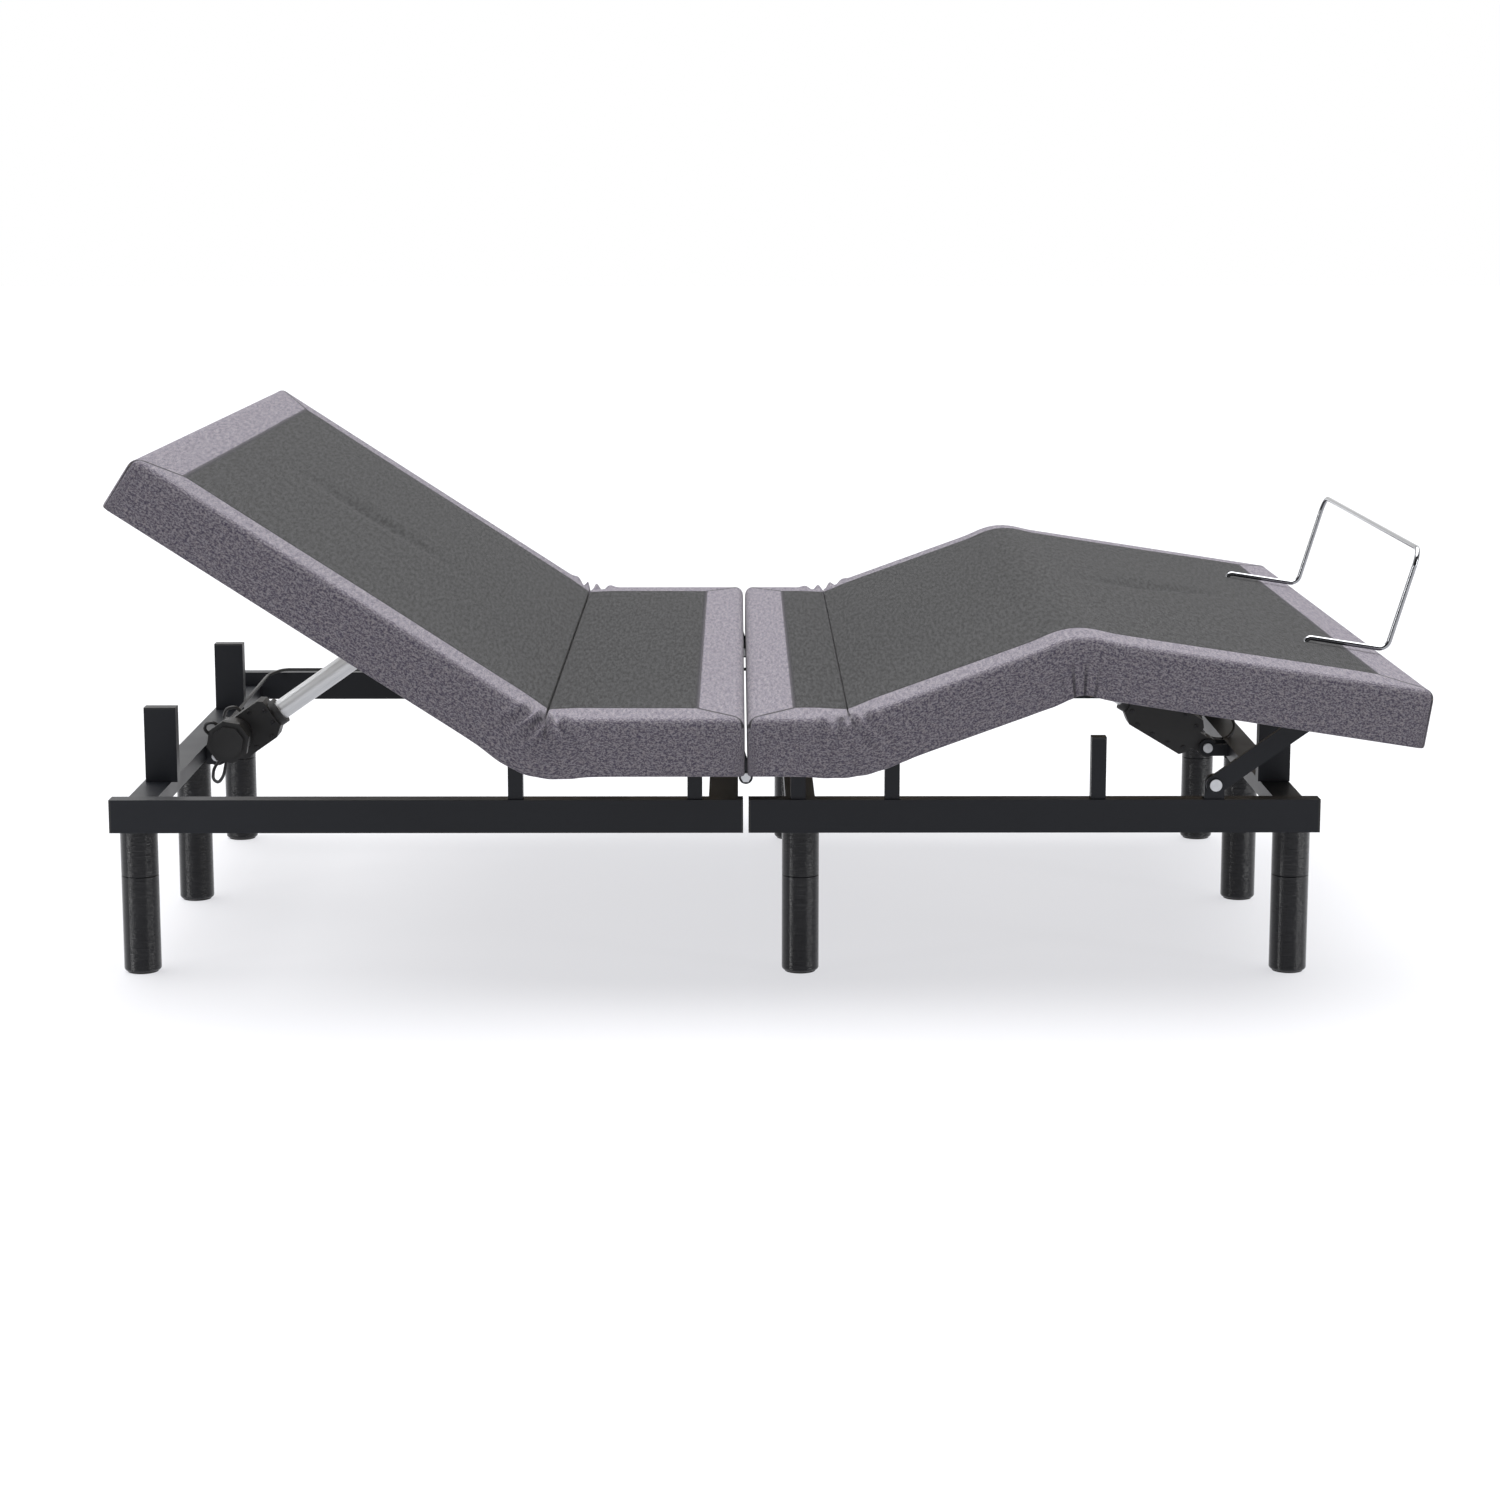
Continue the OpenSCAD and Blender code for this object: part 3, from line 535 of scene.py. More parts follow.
def fold(points):
    """From the flat deck to the deck as it stands."""
    inner = smooth((half_width - 0.014 - np.abs(points[:, 1])) / 0.04)[:, None]
    sides = bend_over(points, head_place, -head_fold, -1, crease_reach, skirt_reach)
    tops = tuck_in(points, head_place, -head_fold, -1)
    out = inner * tops + (1 - inner) * sides
    foot = bend_over(points, knee_place, -knee_fold, 1, knee_reach, knee_reach)
    sides = bend_over(foot, thigh_place, -thigh_fold, 1, crease_reach, skirt_reach)
    tops = tuck_in(foot, thigh_place, -thigh_fold, 1)
    lifted = turn_about(foot, thigh_place, -thigh_fold)
    beyond = points[:, :1] > mid_thigh - 1e-6
    legs = np.where(beyond, lifted, inner * tops + (1 - inner) * sides)
    return np.where(points[:, :1] > (gap_low + gap_high) / 2, legs, out)


print("a hollow fold's edge bends over", 2000 * crease_reach, "mm at the top")

# %% [markdown]
# ## A cover's mesh
#
# One cover is a shallow tray turned upside down: a top, a rounded edge, a skirt, and a hem that
# turns under. Its top is a grid whose lines crowd together near the folds. Round the grid runs
# a path, and at every step of the path the same profile drops over the edge. At a corner the
# path turns on the spot, which rounds the corner. Each point also keeps its place on the uncut
# cloth, in metres, so that the weave runs round the edges without a break.

# %% Places along a side
def places(low, high, step, close=(), reach=0.09, fine=0.006, extra=()):
    """Places from low to high, step apart, and closer together near some of them."""
    stops = sorted({low, high, *(min(max(c + s * reach, low), high) for c in close for s in (-1, 1))})
    found = []
    for start, end in zip(stops, stops[1:]):
        middle = (start + end) / 2
        gap = fine if any(abs(middle - c) < reach for c in close) else step
        count = max(1, round((end - start) / gap))
        found += list(np.linspace(start, end, count + 1)[:-1])
    found = [x for x in found + [high] if all(abs(x - e) > fine * 0.4 for e in extra)]
    return np.array(sorted(found + [e for e in extra if low < e < high]))


def crease_lines(place, degrees):
    """Grid lines on and inside the shoulders of a hollow fold."""
    shoulder = (deck_top - place[2]) * math.tan(math.radians(abs(degrees) / 2))
    return [place[0] + shoulder * share for share in (-1.3, -1, -0.75, -0.4, 0, 0.4, 0.75, 1, 1.3)]


def rounding(power):
    """The rounded edge, outwards and down. A power below 1 makes it squarer."""
    turns = [math.radians(a) for a in (18, 36, 54, 72, 90)]
    return [(edge_round * math.sin(a) ** power, edge_round * (1 - math.cos(a) ** power)) for a in turns]


wall_steps = [(edge_round, drop) for drop in np.linspace(edge_round, skirt_depth - 0.002, 11)[1:]]
hem_steps = [(edge_round - 0.0025, skirt_depth), (0.002, skirt_depth - 0.0005)]
profile = np.array([(0, 0), *rounding(1), *wall_steps, *hem_steps])
crisp_profile = np.array([(0, 0), *rounding(0.6), *wall_steps, *hem_steps])
profile_run = np.concatenate(([0], np.cumsum(np.hypot(*np.diff(profile, axis=0).T))))
grid_step = 0.026
top_half = half_width - edge_round
across = places(-top_half, top_half, grid_step, (-half_width, half_width), 0.075, 0.007)
print("the profile is", round(profile_run[-1] * 1000), "mm long, with", len(profile), "rows")


# %% Build a cover flat
def flat_cover(name, along, ends):
    """A cover as flat points, cloth places and faces. ends says which ends are closed."""
    count_x, count_y = len(along), len(across)
    points = [(x, y, deck_top) for x in along for y in across]
    cloth = [(x, y) for x in along for y in across]

    def grid(i, j):
        return i * count_y + j

    def turn(corner, start):
        return [(corner, start + a) for a in (18, 36, 54, 72)]

    faces = [
        (grid(i, j), grid(i + 1, j), grid(i + 1, j + 1), grid(i, j + 1))
        for i in range(count_x - 1)
        for j in range(count_y - 1)
    ]
    last_x, last_y = count_x - 1, count_y - 1
    right = [(grid(i, 0), -90) for i in range(count_x)]
    foot = [(grid(last_x, j), 0) for j in range(count_y)]
    left = [(grid(i, last_y), 90) for i in reversed(range(count_x))]
    head = [(grid(0, j), 180) for j in reversed(range(count_y))]
    corner_rf, corner_lf = turn(grid(last_x, 0), -90), turn(grid(last_x, last_y), 0)
    corner_lh, corner_rh = turn(grid(0, last_y), 90), turn(grid(0, 0), 180)
    if ends == "both":
        path = right + corner_rf + foot + corner_lf + left + corner_lh + head + corner_rh
    elif ends == "foot":
        path = right + corner_rf + foot + corner_lf + left
    else:
        path = left + corner_lh + head + corner_rh + right
    rows = [[corner for corner, _ in path]]
    for end_step, side_step, run in zip(profile[1:], crisp_profile[1:], profile_run[1:]):
        row = []
        for corner, angle in path:
            x, y, z = points[corner]
            out, drop = end_step + (side_step - end_step) * math.sin(math.radians(angle)) ** 2
            square = 1 + 0.2 * math.sin(math.radians(2 * angle)) ** 2
            c, s = square * math.cos(math.radians(angle)), square * math.sin(math.radians(angle))
            row.append(len(points))
            points.append((x + c * out, y + s * out, z - drop))
            cloth.append((cloth[corner][0] + c * run, cloth[corner][1] + s * run))
        rows.append(row)
    steps = len(path) if ends == "both" else len(path) - 1
    for upper, lower in zip(rows, rows[1:]):
        for k in range(steps):
            n = (k + 1) % len(path)
            ring = [upper[k], lower[k], lower[n], upper[n]]
            faces.append(tuple(dict.fromkeys(ring)))
    return name, np.array(points), np.array(cloth), faces


head_marks, thigh_marks = crease_lines(head_place, head_fold), crease_lines(thigh_place, thigh_fold)
dense = {"reach": 0.075, "fine": 0.0045}
head_span = (head_end + edge_round, gap_low - edge_round)
thigh_span = (gap_high + edge_round, mid_thigh)
foot_span = (mid_thigh, foot_end - edge_round)
head_along = places(*head_span, grid_step, [head_place[0]], extra=head_marks, **dense)
thigh_along = places(*thigh_span, grid_step, [thigh_place[0]], extra=thigh_marks, **dense)
foot_along = places(*foot_span, grid_step, [knee_place[0]], 0.11, 0.008)
flat_covers = [
    flat_cover("head_cover", head_along, "both"),
    flat_cover("thigh_cover", thigh_along, "head"),
    flat_cover("foot_cover", foot_along, "foot"),
]
for name, points, _, faces in flat_covers:
    print(name, len(points), "points", len(faces), "faces")

# %% [markdown]
# ## Pressed places
#
# Foam under taut cloth isn't dead flat. The panels stand a little proud of their border, the
# cloth rolls by a fraction of a millimetre, and the back and the foot panel each have one soft
# lens-shaped hollow near the middle.

# %% Crown and hollows
def hollow(points, middle, half_long, half_wide, slant, depth):
    """A lens-shaped dent, longer along the bed, steeper on its near side."""
    x, y = points[:, 0] - middle[0], points[:, 1] - middle[1]
    along = (x + slant * y) / half_long
    over = (y - slant * x) / half_wide
    skewed = over + 0.35 * along * along - 0.15
    return -depth * np.exp(-(np.abs(along) ** 2.6)) * np.exp(-(np.abs(skewed) ** 1.7) * 1.6)


head_hollow = (head_end + 0.315, 0.0)
foot_hollow = (knee_place[0] + 0.19, 0.06)


def press(points):
    """Raises and dents the flat top."""
    edge = np.minimum(half_width - np.abs(points[:, 1]), points[:, 0] - head_end)
    edge = np.minimum(edge, foot_end - points[:, 0])
    edge = np.minimum(edge, np.abs(points[:, 0] - (gap_low + gap_high) / 2))
    raised = 0.0018 * smooth((edge - 0.02) / 0.07)
    x, y = points[:, 0], points[:, 1]
    raised += 0.0005 * np.sin(x * 13 + 2 * np.sin(y * 5)) * np.cos(y * 9 + x * 4) * smooth(edge / 0.1)
    near_fold = np.minimum(np.abs(x - head_place[0]), np.abs(x - thigh_place[0]))
    raised *= smooth((near_fold - 0.01) / 0.05)
    raised += hollow(points, head_hollow, 0.115, 0.052, 0.1, 0.0104)
    raised += hollow(points, foot_hollow, 0.12, 0.05, 0.35, 0.0098)
    out = points.copy()
    on_top = smooth((half_width - edge_round * 0.9 - np.abs(y)) / 0.01)
    out[:, 2] += raised * on_top
    return out


print("hollows at", round(head_hollow[0], 3), "and", round(foot_hollow[0], 3), "m along the bed")

# %% [markdown]
# ## Let the spare cloth crumple
#
# Folding has pushed the cloth together along the deck's edge, over the hollow folds, and along
# the skirt's hem under the knee. Real cloth keeps its length, so it bunches there. The main
# ridges and pleats are set first, by formula, and the simulation works the cloth round them. It
# knows the flat shape as the length that every thread wants, and starts from the
# folded one. Only the places near a fold are free, and everything else is held. How far a
# point may move is capped, so a fold can't grow into its neighbour. Wooden boards stand just
# behind the cloth, so whatever moves inwards stops short of them.

# %% Simulate the bunched places
def pinches(points, place, spread):
    """Small ridges and a notch at a hollow fold's ends, on the deck's edge; outward in metres."""
    along = points[:, 0] - place[0]
    drop = deck_top - points[:, 2]
    rounding = smooth((np.abs(points[:, 1]) - (half_width - 0.045)) / 0.03)
    fade = rounding * smooth((0.062 - drop) / 0.05)
    side = np.sign(points[:, 1]) * 0.003 + spread * np.sign(along) * drop
    off = np.abs(along - side)
    ridges = 0.0075 * np.exp(-(((off - 0.016) / 0.0055) ** 2)) - 0.008 * np.exp(-((off / 0.006) ** 2))
    ridges -= 0.0058 * np.exp(-(((off - 0.029) / 0.006) ** 2))
    ridges += 0.0034 * np.exp(-(((off - 0.043) / 0.008) ** 2))
    return ridges * fade


board_clear = 0.0013
board_drop = 0.0098
wall_depth = 0.0025
rim_depth = 0.06


def bunch(points, start):
    """Moves the folded cover's edge in and out at the hollow folds."""
    out = start.copy()
    for place, spread in ((head_place, 0.55), (thigh_place, 0.4)):
        push = pinches(points, place, spread) * (1 if place is head_place else 0.7)
        level = np.clip((deck_top - points[:, 2]) / edge_round, 0, 1)
        out[:, 1] += np.sign(points[:, 1]) * push * (0.35 + 0.65 * level)
        out[:, 2] += push * (1.25 - 0.8 * level)
    along = points[:, 0] - knee_place[0]
    low = smooth((deck_top - 0.04 - points[:, 2]) / 0.045)
    pleats = 0.0045 * np.cos(along * 2 * math.pi / pleat_pitch) * np.exp(-((along / 0.032) ** 2)) - 0.001
    out[:, 1] += np.sign(points[:, 1]) * pleats * low * (np.abs(along) < 0.09)
    return off_the_boards(points, start, out)


def off_the_boards(points, folded, moved):
    """Keeps moved cloth outside the side boards, which stand just behind it."""
    out = moved.copy()
    side = np.sign(points[:, 1])
    depth = np.abs(points[:, 1]) - np.abs(moved[:, 1])
    wall = (np.abs(points[:, 1]) > half_width - wall_depth) & (depth > board_clear)
    out[wall, 1] = side[wall] * (np.abs(points[wall, 1]) - board_clear)
    lowest = folded[:, 2] - (board_drop - (deck_top - points[:, 2]))
    rim = (np.abs(points[:, 1]) <= half_width - wall_depth) & (deck_top - points[:, 2] < board_drop)
    rim &= np.abs(points[:, 1]) > half_width - rim_depth
    out[rim, 2] = np.maximum(moved[rim, 2], lowest[rim])
    return out


def folded_cover(name, points, cloth, faces):
    """The cover's mesh, folded as the deck stands, with its cloth places as UVs."""
    mesh = bpy.data.meshes.new(name)
    mesh.from_pydata(bunch(points, fold(press(points))), [], faces)
    uvs = mesh.uv_layers.new(name="cloth")
    corners = np.zeros(len(mesh.loops), np.int32)
    mesh.loops.foreach_get("vertex_index", corners)
    uvs.data.foreach_set("uv", cloth[corners].ravel())
    mesh.polygons.foreach_set("use_smooth", [True] * len(mesh.polygons))
    cover = bpy.data.objects.new(name, mesh)
    scene.collection.objects.link(cover)
    return cover


def coordinates(mesh):
    found = np.zeros(len(mesh.vertices) * 3)
    mesh.vertices.foreach_get("co", found)
    return found.reshape(-1, 3)


def freedom(points):
    """From 0, held, to 1, free, for each point of a flat cover."""
    x, y, z = points.T
    off_top = smooth((np.abs(y) - (half_width - 0.055)) / 0.03)
    near = np.zeros(len(points))
    for place in (head_place, thigh_place):
        near = np.maximum(near, smooth((0.1 - np.abs(x - place[0])) / 0.05) * off_top)
    low = smooth((deck_top - 0.03 - z) / 0.03)
    return np.maximum(near, smooth((0.1 - np.abs(x - knee_place[0])) / 0.05) * low)


def crumple(cover, flat, cap=0.011, steps=24):
    """Runs the cover as cloth and keeps the result, with no point further than cap from its start."""
    start = coordinates(cover.data)
    cover.shape_key_add(name="folded")
    uncut = cover.shape_key_add(name="flat")
    uncut.data.foreach_set("co", flat.ravel())
    held = cover.vertex_groups.new(name="held")
    free = freedom(flat)
    for index, share in enumerate(free):
        held.add([index], float(1 - share), "REPLACE")
    seeded = start.copy()
    seeded[:, 1] += np.sign(start[:, 1]) * free * 0.0015 * np.sin(start[:, 0] * 190 + start[:, 2] * 60)
    cover.data.shape_keys.key_blocks["folded"].data.foreach_set("co", seeded.ravel())
    sim = cover.modifiers.new("sim", "CLOTH")
    sim.settings.quality = 8
    sim.settings.mass = 0.2
    sim.settings.tension_stiffness = 12
    sim.settings.compression_stiffness = 12
    sim.settings.shear_stiffness = 4
    sim.settings.bending_stiffness = 0.15
    sim.settings.rest_shape_key = uncut
    sim.settings.vertex_group_mass = "held"
    sim.settings.effector_weights.gravity = 0
    sim.settings.use_pressure = True
    sim.settings.uniform_pressure_force = 0.35
    sim.collision_settings.use_collision = False
    sim.point_cache.frame_start, sim.point_cache.frame_end = 1, steps
    for step in range(1, steps + 1):
        scene.frame_set(step)
    shaped = coordinates(cover.evaluated_get(bpy.context.evaluated_depsgraph_get()).data)
    cover.modifiers.clear()
    cover.shape_key_clear()
    moved = shaped - start
    length = np.linalg.norm(moved, axis=1)
    moved *= (np.minimum(length, cap) / np.maximum(length, 1e-9))[:, None] * free[:, None]
    shaped = off_the_boards(flat, fold(press(flat)), start + moved)
    cover.data.vertices.foreach_set("co", shaped.ravel())
    cover.data.update()
    scene.frame_set(1)
    print(cover.name, "moved by up to", round(float(length.max()) * 1000, 1), "mm")


covers = {}
for name, points, cloth, faces in flat_covers:
    cover = folded_cover(name, points, cloth, faces)
    crumple(cover, points)
    round_off = cover.modifiers.new("round_off", "SUBSURF")
    round_off.levels = round_off.render_levels = 1
    covers[name] = cover

# %% [markdown]
# ## Heather cloth and the sewn panel
#
# The border and the skirt are a heather: pale and dark yarns, spun together, that show as short
# flecks. The middle is a plain dark cloth with a finer weave. Both are one material here, and
# a mask made from the cloth places says which is where. The panel is sewn in with a sunk seam
# and a row of stitches, the corners are mitred, and the mitre runs on down the corner's edge.
# Where the mesh is too coarse for a fold, the material paints its shade instead: dark gathers fan out
# below the hollow folds, dark pleat lines stand along the hem under the knee, and the panel is
# darkened along each hollow fold's crease.

# %% Upholstery
border = 0.085
end_border = 0.07
cloth = Finish("upholstery")
uv = cloth.add("ShaderNodeUVMap", {"uv_map": "cloth"})
split = {"Vector": uv}
u = cloth.add("ShaderNodeSeparateXYZ", {}, split, "X")
v = cloth.add("ShaderNodeSeparateXYZ", {}, split, "Y")

from_side = half_width - abs(v)
from_head = (u - head_end).least(gap_low - u)
from_foot = (u - gap_high).least(foot_end - u)
from_end = from_head.most(from_foot)
inside = (from_side - border).least(from_end - end_border)
panel = cloth.steps(inside, -0.0008, 0.0008)
seam = 1 - cloth.steps(abs(inside), 0.0016, 0.0042)
mitre_off = abs(from_end / end_border - from_side / border) * 0.05
mitre = (1 - cloth.steps(mitre_off, 0.0016, 0.004)) * (inside < 0) * (from_end < end_border)
# Painted shade: the panel's colour is darkened along each hollow fold's hinge line, where the crease
# holds shade.
crease_off = abs(u - head_place[0]).least(abs(u - thigh_place[0]))
crease_shade = (1 - cloth.steps(crease_off, 0.002, 0.009)) * panel

flecks = cloth.noise(cloth.stretch(uv, (330, 470, 1)), 1, 2, 0.7)
slubs = cloth.noise(cloth.stretch(uv, (150, 260, 1)), 1, 2, 0.6)
weft = cloth.noise(cloth.stretch(uv, (210, 34, 1)), 1, 2, 0.6)
mottle = cloth.noise(uv, 45, 3, 0.6)
weave = u.wave(0.0016) * v.wave(0.0016)
fine_weave = u.wave(0.0011) * v.wave(0.0011)
down = abs(v) - (half_width - edge_round)
on_top = 1 - cloth.steps(down, -0.004, 0.012)
streaks = weft * on_top + slubs * (1 - on_top)
yarn = cloth.steps(flecks * 0.6 + slubs * 0.15 + streaks * 0.25, 0.4, 0.61)
tint = cloth.noise(cloth.stretch(uv, (90, 130, 1)), 1, 1)
pale_yarn = cloth.blend(tint, (0.202, 0.183, 0.19), (0.178, 0.171, 0.194))
heather = cloth.blend(yarn * 0.85 + mottle * 0.15, (0.042, 0.0355, 0.0555), pale_yarn)
linen = cloth.steps(weft * 0.75 + flecks * 0.25, 0.4, 0.6)
felted = cloth.blend(linen * 0.85 + mottle * 0.15, (0.005, 0.005, 0.0053), (0.0245, 0.0245, 0.0256))
two_cloths = cloth.blend(panel, heather, felted)


def painted_gathers(place, start, spread, reach):
    """Painted shade of folds that fan out down the skirt from a point above a hinge, fading with
    distance.
    """
    over, below = u - place[0], down - start
    fan = over.sum("ARCTAN2", over, below).wave(spread)
    far = over * over + below * below
    return cloth.steps(fan, 0.55, 1.0) * (1 - cloth.steps(far, 0, reach * reach)) * (down > 0.004)


# Painted shade of the gathers below both hollow folds.
gather_shade = painted_gathers(head_place, -0.012, 0.62, 0.06).most(painted_gathers(thigh_place, -0.012, 0.75, 0.045))
# Painted shade of short pleats: dark lines along the hem, fading away from the knee.
hem = cloth.steps(down, skirt_depth - 0.055, skirt_depth - 0.004)
knee_off = abs(u - knee_place[0])
pleat = cloth.steps((u - knee_place[0] + (down - skirt_depth) * 0.12).wave(pleat_pitch), 0.4, 0.95)
pleat_shade = pleat * hem * (1 - cloth.steps(knee_off, 0.018, 0.04))
# The dark mask is partly the sewn seam and mitre lines, which are dark in the cloth, and partly painted
# shade of gathers, pleats and creases. It darkens the base colour.
fold_shade = (gather_shade * 0.62).most(pleat_shade * 0.7)
dark = (seam * 0.85).most(mitre * 0.92).most(crease_shade * 0.7).most(fold_shade)
cloth.set(
    Base_Color=cloth.blend(dark, two_cloths, (0.012, 0.011, 0.014)),
    Roughness=0.88 + weave * 0.05,
    Sheen_Weight=0.06,
    Sheen_Roughness=0.5,
    Specular_IOR_Level=0.15,
)
stitch_row = (1 - cloth.steps(abs(inside + 0.004), 0.0004, 0.0011)) * (u + v).wave(0.005)
thread = weave * (1 - panel) + fine_weave * panel
relief = thread * 0.12 + flecks * 0.5 - seam * 1.6 - mitre * 1.4 + stitch_row * 0.3 - fold_shade * 2
cloth.bump(relief, 0.0009, 0.8)
finishes["upholstery"] = cloth.material
for cover in covers.values():
    cover.data.materials.append(cloth.material)
print("sewn panel border", border, "m at the sides and", end_border, "m at the ends")

# %% [markdown]
# ## The covers on the deck
#
# A cover that crosses a hinge would have to bend when the joint moves. Each cover crosses just one:
# the back, the thigh or the knee. Here each fold gets a narrow band, two points either side of it,
# but the covers follow no body: each cover's place is baked into its mesh, and the padding parts that
# it stands for are hidden. The thigh and the foot cover meet in the middle of the thigh.

# %% Fold bands, and the covers baked in place
def fold_band(place, turned, half):
    """Two points either side of a fold, on the line through its hinge that halves it."""
    tilt = math.radians(turned)
    step = Vector((math.cos(tilt), 0, math.sin(tilt))) * half
    return Vector(place) - step, Vector(place) + step


hollow_band, knee_band = 0.034, 0.055
head_side, seat_side = fold_band(head_place, head_fold / 2, hollow_band)
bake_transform(covers["head_cover"])
seat_side, thigh_side = fold_band(thigh_place, abs(thigh_fold) / 2, hollow_band)
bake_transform(covers["thigh_cover"])
knee_tilt = abs(thigh_fold) - abs(knee_fold) / 2
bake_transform(covers["foot_cover"])

stands_for = {
    "head_cover": ("head_padding", "seat_padding_head"),
    "thigh_cover": ("seat_padding_foot", "thigh_padding"),
    "foot_cover": ("foot_padding",),
}
for name, cover in covers.items():
    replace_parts(cover, *stands_for[name])

# %% [markdown]
# ## Leads along the rails
#
# A lead runs from the control box along a rail to each drive. It is a round tube on a smooth
# line: the route's corners are cut and each is replaced by a short curve, as a cable bends.
# The route stays on the points that the frame was built with.

# %% Smooth leads
gap_to_hinge = 0.301
lead_thickness = 0.006
bed_zero = joints["head_lift"]["pos_m"][0] + gap_to_hinge


def softened(route, cut):
    """A route with each corner replaced by a short curve."""
    route = [Vector(p) for p in route]
    out = [route[0]]
    for before, at, after in zip(route, route[1:], route[2:]):
        back, on = before - at, after - at
        reach = min(cut, back.length * 0.45, on.length * 0.45)
        start, end = at + back.normalized() * reach, at + on.normalized() * reach
        for share in (0, 0.2, 0.4, 0.6, 0.8, 1):
            out.append(start.lerp(at, share).lerp(at.lerp(end, share), share))
    return out + [route[-1]]


def lead(name, route, body, thickness, cut=0.026):
    """A cable along a route, riding on one body."""
    curve = bpy.data.curves.new(name, "CURVE")
    curve.dimensions = "3D"
    curve.bevel_depth = thickness / 2
    curve.bevel_resolution = 4
    curve.use_fill_caps = True
    line = softened(route, cut)
    spline = curve.splines.new("POLY")
    spline.points.add(len(line) - 1)
    for point, place in zip(spline.points, line):
        point.co = (*place, 1)
    spline.use_smooth = True
    made = bpy.data.objects.new(name, curve)
    scene.collection.objects.link(made)
    curve.materials.append(finishes["cable"])
    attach(made, body)
    return made


def from_bed(points):
    """Points in millimetres from the bed's centre gap, in metres in the shared frame."""
    return [(bed_zero + x / 1000, y / 1000, z / 1000) for x, y, z in points]


head_route = from_bed(
    [(-224, 140, 384), (-245, 140, 378), (-262, 150, 330), (-262, 590, 305), (-300, 605, 300),
     (-860, 605, 300), (-885, 590, 292), (-885, 130, 285), (-885, 60, 300), (-878, 44, 318),
     (-862, 44, 322), (-850, 44, 310)]
)
foot_route = from_bed(
    [(-224, 160, 384), (-238, 166, 360), (-238, 560, 322), (-200, 605, 300), (-40, 605, 300),
     (560, 605, 300), (780, 605, 300), (802, 590, 292), (802, 190, 285), (800, 130, 300),
     (770, 118, 330), (745, 112, 340)]
)
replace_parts(lead("head_lead", head_route, "root", lead_thickness), "head_motor_cable")
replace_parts(lead("foot_lead", foot_route, "root", lead_thickness), "foot_motor_cable")
print("both leads run along the rails of the far side")

# %% [markdown]
# ## Small parts on the drives
#
# Up close a drive isn't a plain block. Its housing is two halves held by a ring of screws, and
# its motor's lead loops out of the cap. They are placed in the ram's own directions: along it
# from the rear pin, and square to it, both taken from the joints, so they ride on the ram.

# %% Screws and a lead loop
def ram_frame(ram):
    """The rear pin, the direction along the ram, and the direction square to it, upwards."""
    pin = Vector(joints[ram + "_pivot"]["pos_m"])
    along = Vector(joints[ram + "_stroke"]["axis"]).normalized()
    up = Vector((-along.z, 0, along.x))
    return pin, along, up if up.z > 0 else -up


def screw_ring(name, body, spots, face_y, radius):
    """Round screw heads with a hex socket, standing on both sides of a housing."""
    pin, along, up = ram_frame(body)
    points, faces = [], []
    rings = [(1.0, 0.0, 0), (1.0, 0.75, 0), (0.82, 1.0, 0), (0.5, 1.0, 6), (0.45, 0.3, 6)]
    for side in (-1, 1):
        for x, z in spots:
            first = len(points)
            for scale, rise, corners in rings:
                for k in range(12):
                    a = math.radians(30 * k)
                    r = radius * scale
                    if corners:
                        r *= 1 if k % 2 == 0 else 0.89
                    place = pin + along * (x + r * math.cos(a)) + up * (z + r * math.sin(a))
                    points.append((place.x, side * (face_y + rise * radius * 0.6), place.z))
            for ring in range(len(rings) - 1):
                for k in range(12):
                    a, b = first + ring * 12 + k, first + ring * 12 + (k + 1) % 12
                    faces.append((a, b, b + 12, a + 12))
            faces.append(tuple(first + (len(rings) - 1) * 12 + k for k in range(12)))
    mesh = bpy.data.meshes.new(name)
    mesh.from_pydata(points, [], faces)
    mesh.materials.append(blackened.material)
    made = bpy.data.objects.new(name, mesh)
    scene.collection.objects.link(made)
    bpy.context.view_layer.objects.active = made
    for part in scene.objects:
        part.select_set(part == made)
    bpy.ops.object.mode_set(mode="EDIT")
    bpy.ops.mesh.select_all(action="SELECT")
    bpy.ops.mesh.normals_make_consistent(inside=False)
    bpy.ops.object.mode_set(mode="OBJECT")
    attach(made, body)
    return made


screw_radius = 0.0034
housing_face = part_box("head_gearbox")[1].y
head_spots = [(0.036, -0.022), (0.064, -0.026), (0.096, -0.026), (0.111, -0.008), (0.111, 0.016),
              (0.088, 0.029), (0.062, 0.029), (0.036, 0.022)]
foot_spots = [(0.036, -0.020), (0.062, -0.027), (0.092, -0.028), (0.122, -0.027), (0.142, -0.012),
              (0.143, 0.018), (0.122, 0.029), (0.092, 0.029), (0.062, 0.029), (0.036, 0.022)]
screw_ring("head_drive_screws", "head_ram", head_spots, housing_face, screw_radius)
screw_ring("foot_drive_screws", "foot_ram", foot_spots, housing_face, screw_radius)


def motor_loop(name, body, side, turns):
    """A short lead that leaves the motor's cap, loops and goes into the gear housing."""
    pin, along, up = ram_frame(body)
    route = []
    for x, y, z in turns:
        place = pin + along * x + up * z
        route.append((place.x, side * y, place.z))
    return lead(name, route, body, thickness=0.0055, cut=0.02)


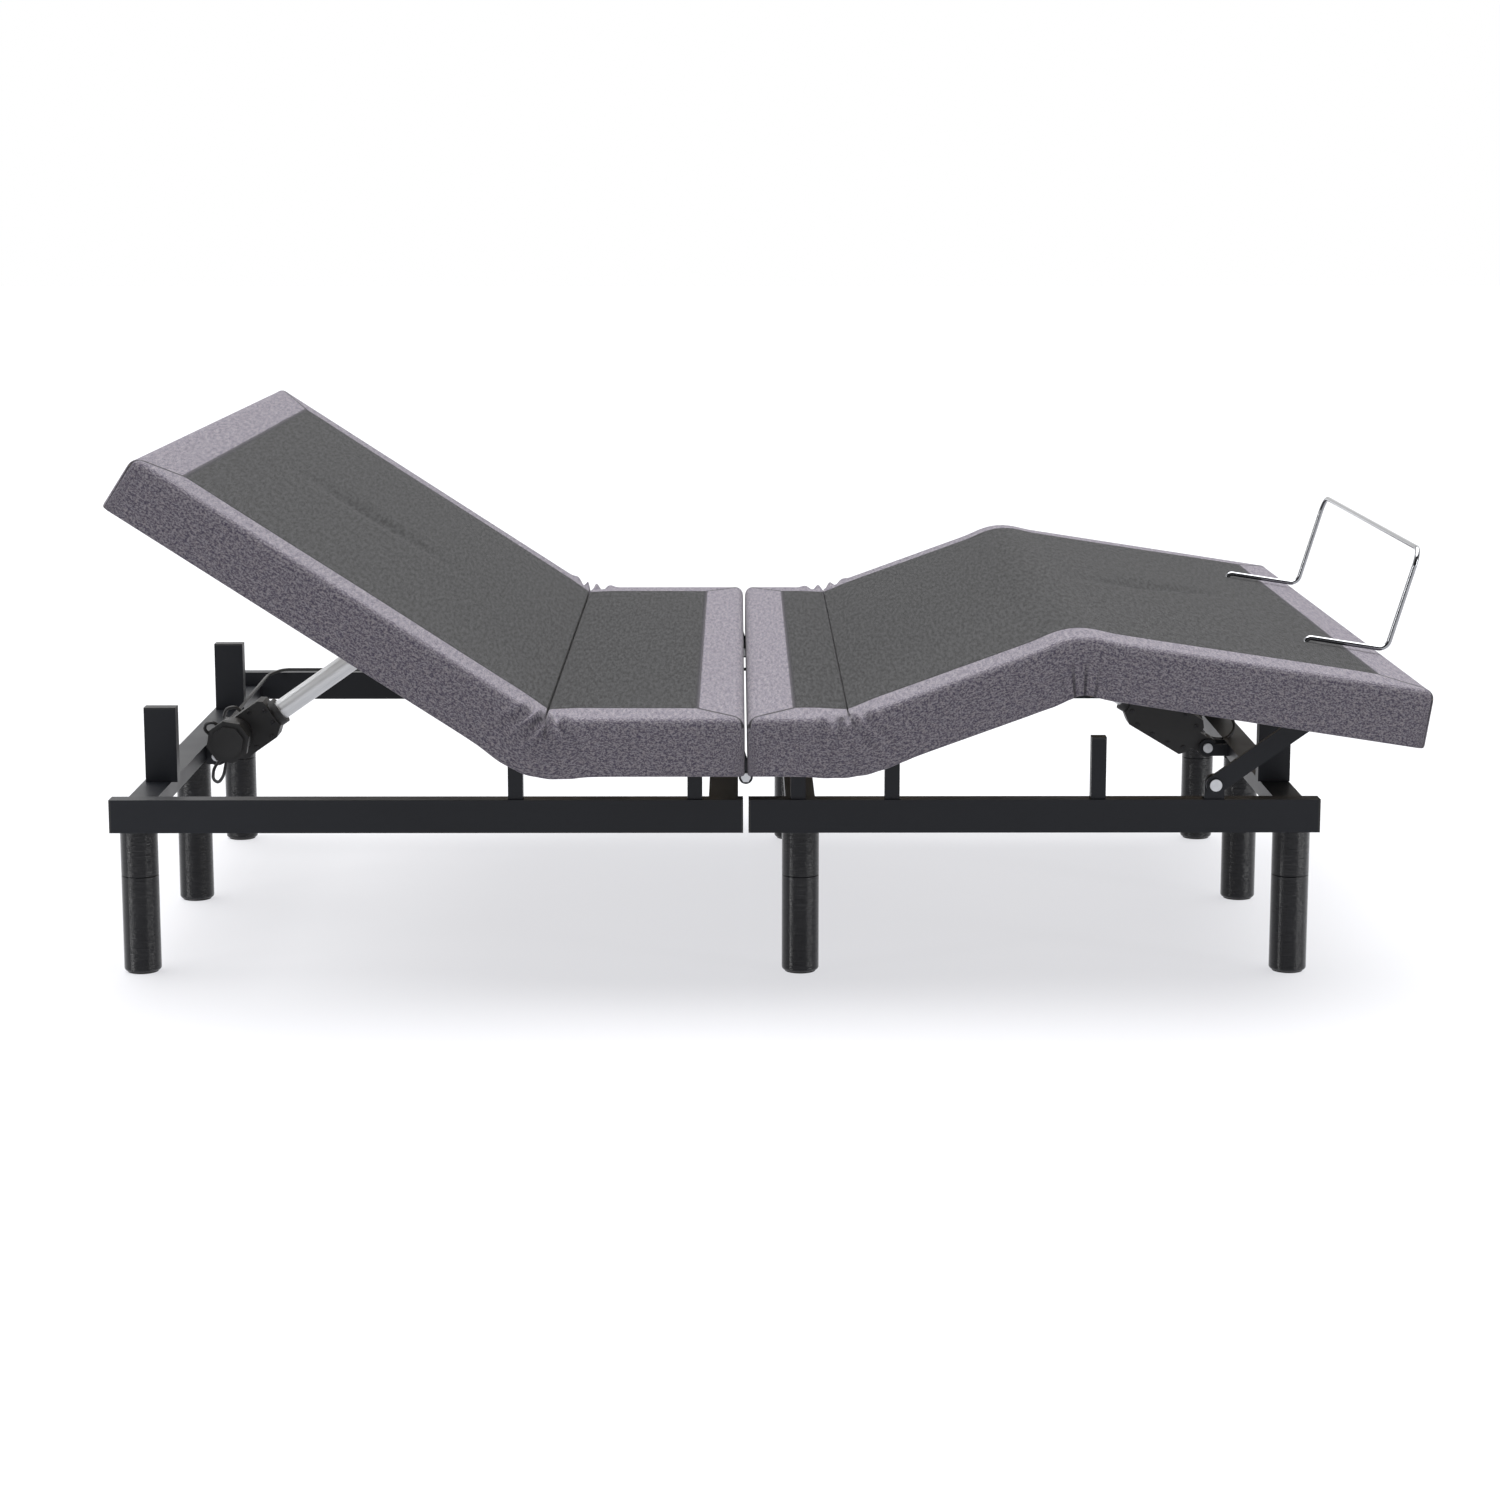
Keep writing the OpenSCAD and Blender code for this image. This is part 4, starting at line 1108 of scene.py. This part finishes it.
motor_loop(
    "head_motor_loop", "head_ram", -1,
    [(0.044, 0.068, 0.038), (0.04, 0.07, 0.052), (0.028, 0.068, 0.057), (0.018, 0.06, 0.05),
     (0.018, 0.048, 0.036), (0.026, 0.038, 0.024), (0.034, 0.03, 0.018), (0.042, 0.026, 0.014)],
)
motor_loop(
    "head_motor_tail", "head_ram", -1,
    [(0.02, 0.07, -0.012), (0.002, 0.075, -0.03), (-0.014, 0.07, -0.036), (-0.022, 0.055, -0.026),
     (-0.012, 0.042, -0.012), (0.012, 0.034, -0.006), (0.03, 0.026, -0.004)],
)
motor_loop(
    "foot_motor_loop", "foot_ram", 1,
    [(0.02, 0.068, 0.036), (0.0, 0.07, 0.056), (-0.022, 0.068, 0.062), (-0.04, 0.058, 0.048),
     (-0.036, 0.046, 0.026), (-0.016, 0.036, 0.014), (0.01, 0.03, 0.01), (0.03, 0.026, 0.01)],
)
print("screws stand", round(housing_face * 1000, 1), "mm from the middle of each ram")

# %% [markdown]
# ## Floor and light
#
# A plain pale floor glows a little, so that no hard shadow lies on it. The sky is white behind
# the bed and dim in front of it, so that black parts stay black. A wide soft sun overhead makes
# the tops pale and leaves the skirts darker. Two tall lamps, in front of the bed at its left and
# its right, draw upright glints on the legs.

# %% Floor
floor = Finish("floor")
speckle = floor.noise(floor.place(), 3, 2)
floor.set(
    Base_Color=floor.blend(speckle, (0.135, 0.135, 0.137), (0.15, 0.15, 0.152)),
    Roughness=0.8,
    Emission_Color=(0.955, 0.96, 1),
    Emission_Strength=0.68,
)
floor_mesh = bpy.data.meshes.new("floor")
reach = 30
floor_corners = [(-reach, -reach, 0), (reach, -reach, 0), (reach, reach, 0), (-reach, reach, 0)]
floor_mesh.from_pydata(floor_corners, [], [(0, 1, 2, 3)])
floor_mesh.materials.append(floor.material)
floor_sheet = bpy.data.objects.new("floor", floor_mesh)
scene.collection.objects.link(floor_sheet)
print("floor is", 2 * reach, "m across")


# %% Light
def soft_lamp(name, place, aim, size, power):
    """A rectangular lamp that faces a point."""
    light = bpy.data.lights.new(name, "AREA")
    light.shape = "RECTANGLE"
    light.size, light.size_y = size
    light.energy = power
    lamp = bpy.data.objects.new(name, light)
    lamp.location = place
    lamp.rotation_euler = (Vector(aim) - Vector(place)).to_track_quat("-Z", "Y").to_euler()
    scene.collection.objects.link(lamp)


overhead = bpy.data.lights.new("overhead", "SUN")
overhead.energy = 7.8
overhead.angle = math.radians(75)
overhead_lamp = bpy.data.objects.new("overhead", overhead)
overhead_lamp.rotation_euler = (math.radians(-8), 0, 0)
scene.collection.objects.link(overhead_lamp)
for name, side in (("left_strip", -1), ("right_strip", 1)):
    soft_lamp(name, (side * 4.5, -3.0, 1.1), aim=(0, 0, 0.3), size=(0.9, 2.2), power=76)

sky = bpy.data.worlds.new("sky")
scene.world = sky
sky.use_nodes = True
sky_nodes, sky_links = sky.node_tree.nodes, sky.node_tree.links
direction = sky_nodes.new("ShaderNodeTexCoord")
split_direction = sky_nodes.new("ShaderNodeSeparateXYZ")
sky_links.new(direction.outputs["Generated"], split_direction.inputs[0])
front_to_back = sky_nodes.new("ShaderNodeMapRange")
front_to_back.interpolation_type = "SMOOTHSTEP"
front_to_back.inputs["From Min"].default_value = -0.6
front_to_back.inputs["From Max"].default_value = 0.6
front_to_back.inputs["To Min"].default_value = 0.04
front_to_back.inputs["To Max"].default_value = 1.0
sky_links.new(split_direction.outputs["Y"], front_to_back.inputs["Value"])
sky_links.new(front_to_back.outputs[0], sky_nodes["Background"].inputs["Strength"])
sky_nodes["Background"].inputs["Color"].default_value = (1, 1, 1, 1)
print("lamps:", len(bpy.data.lights))
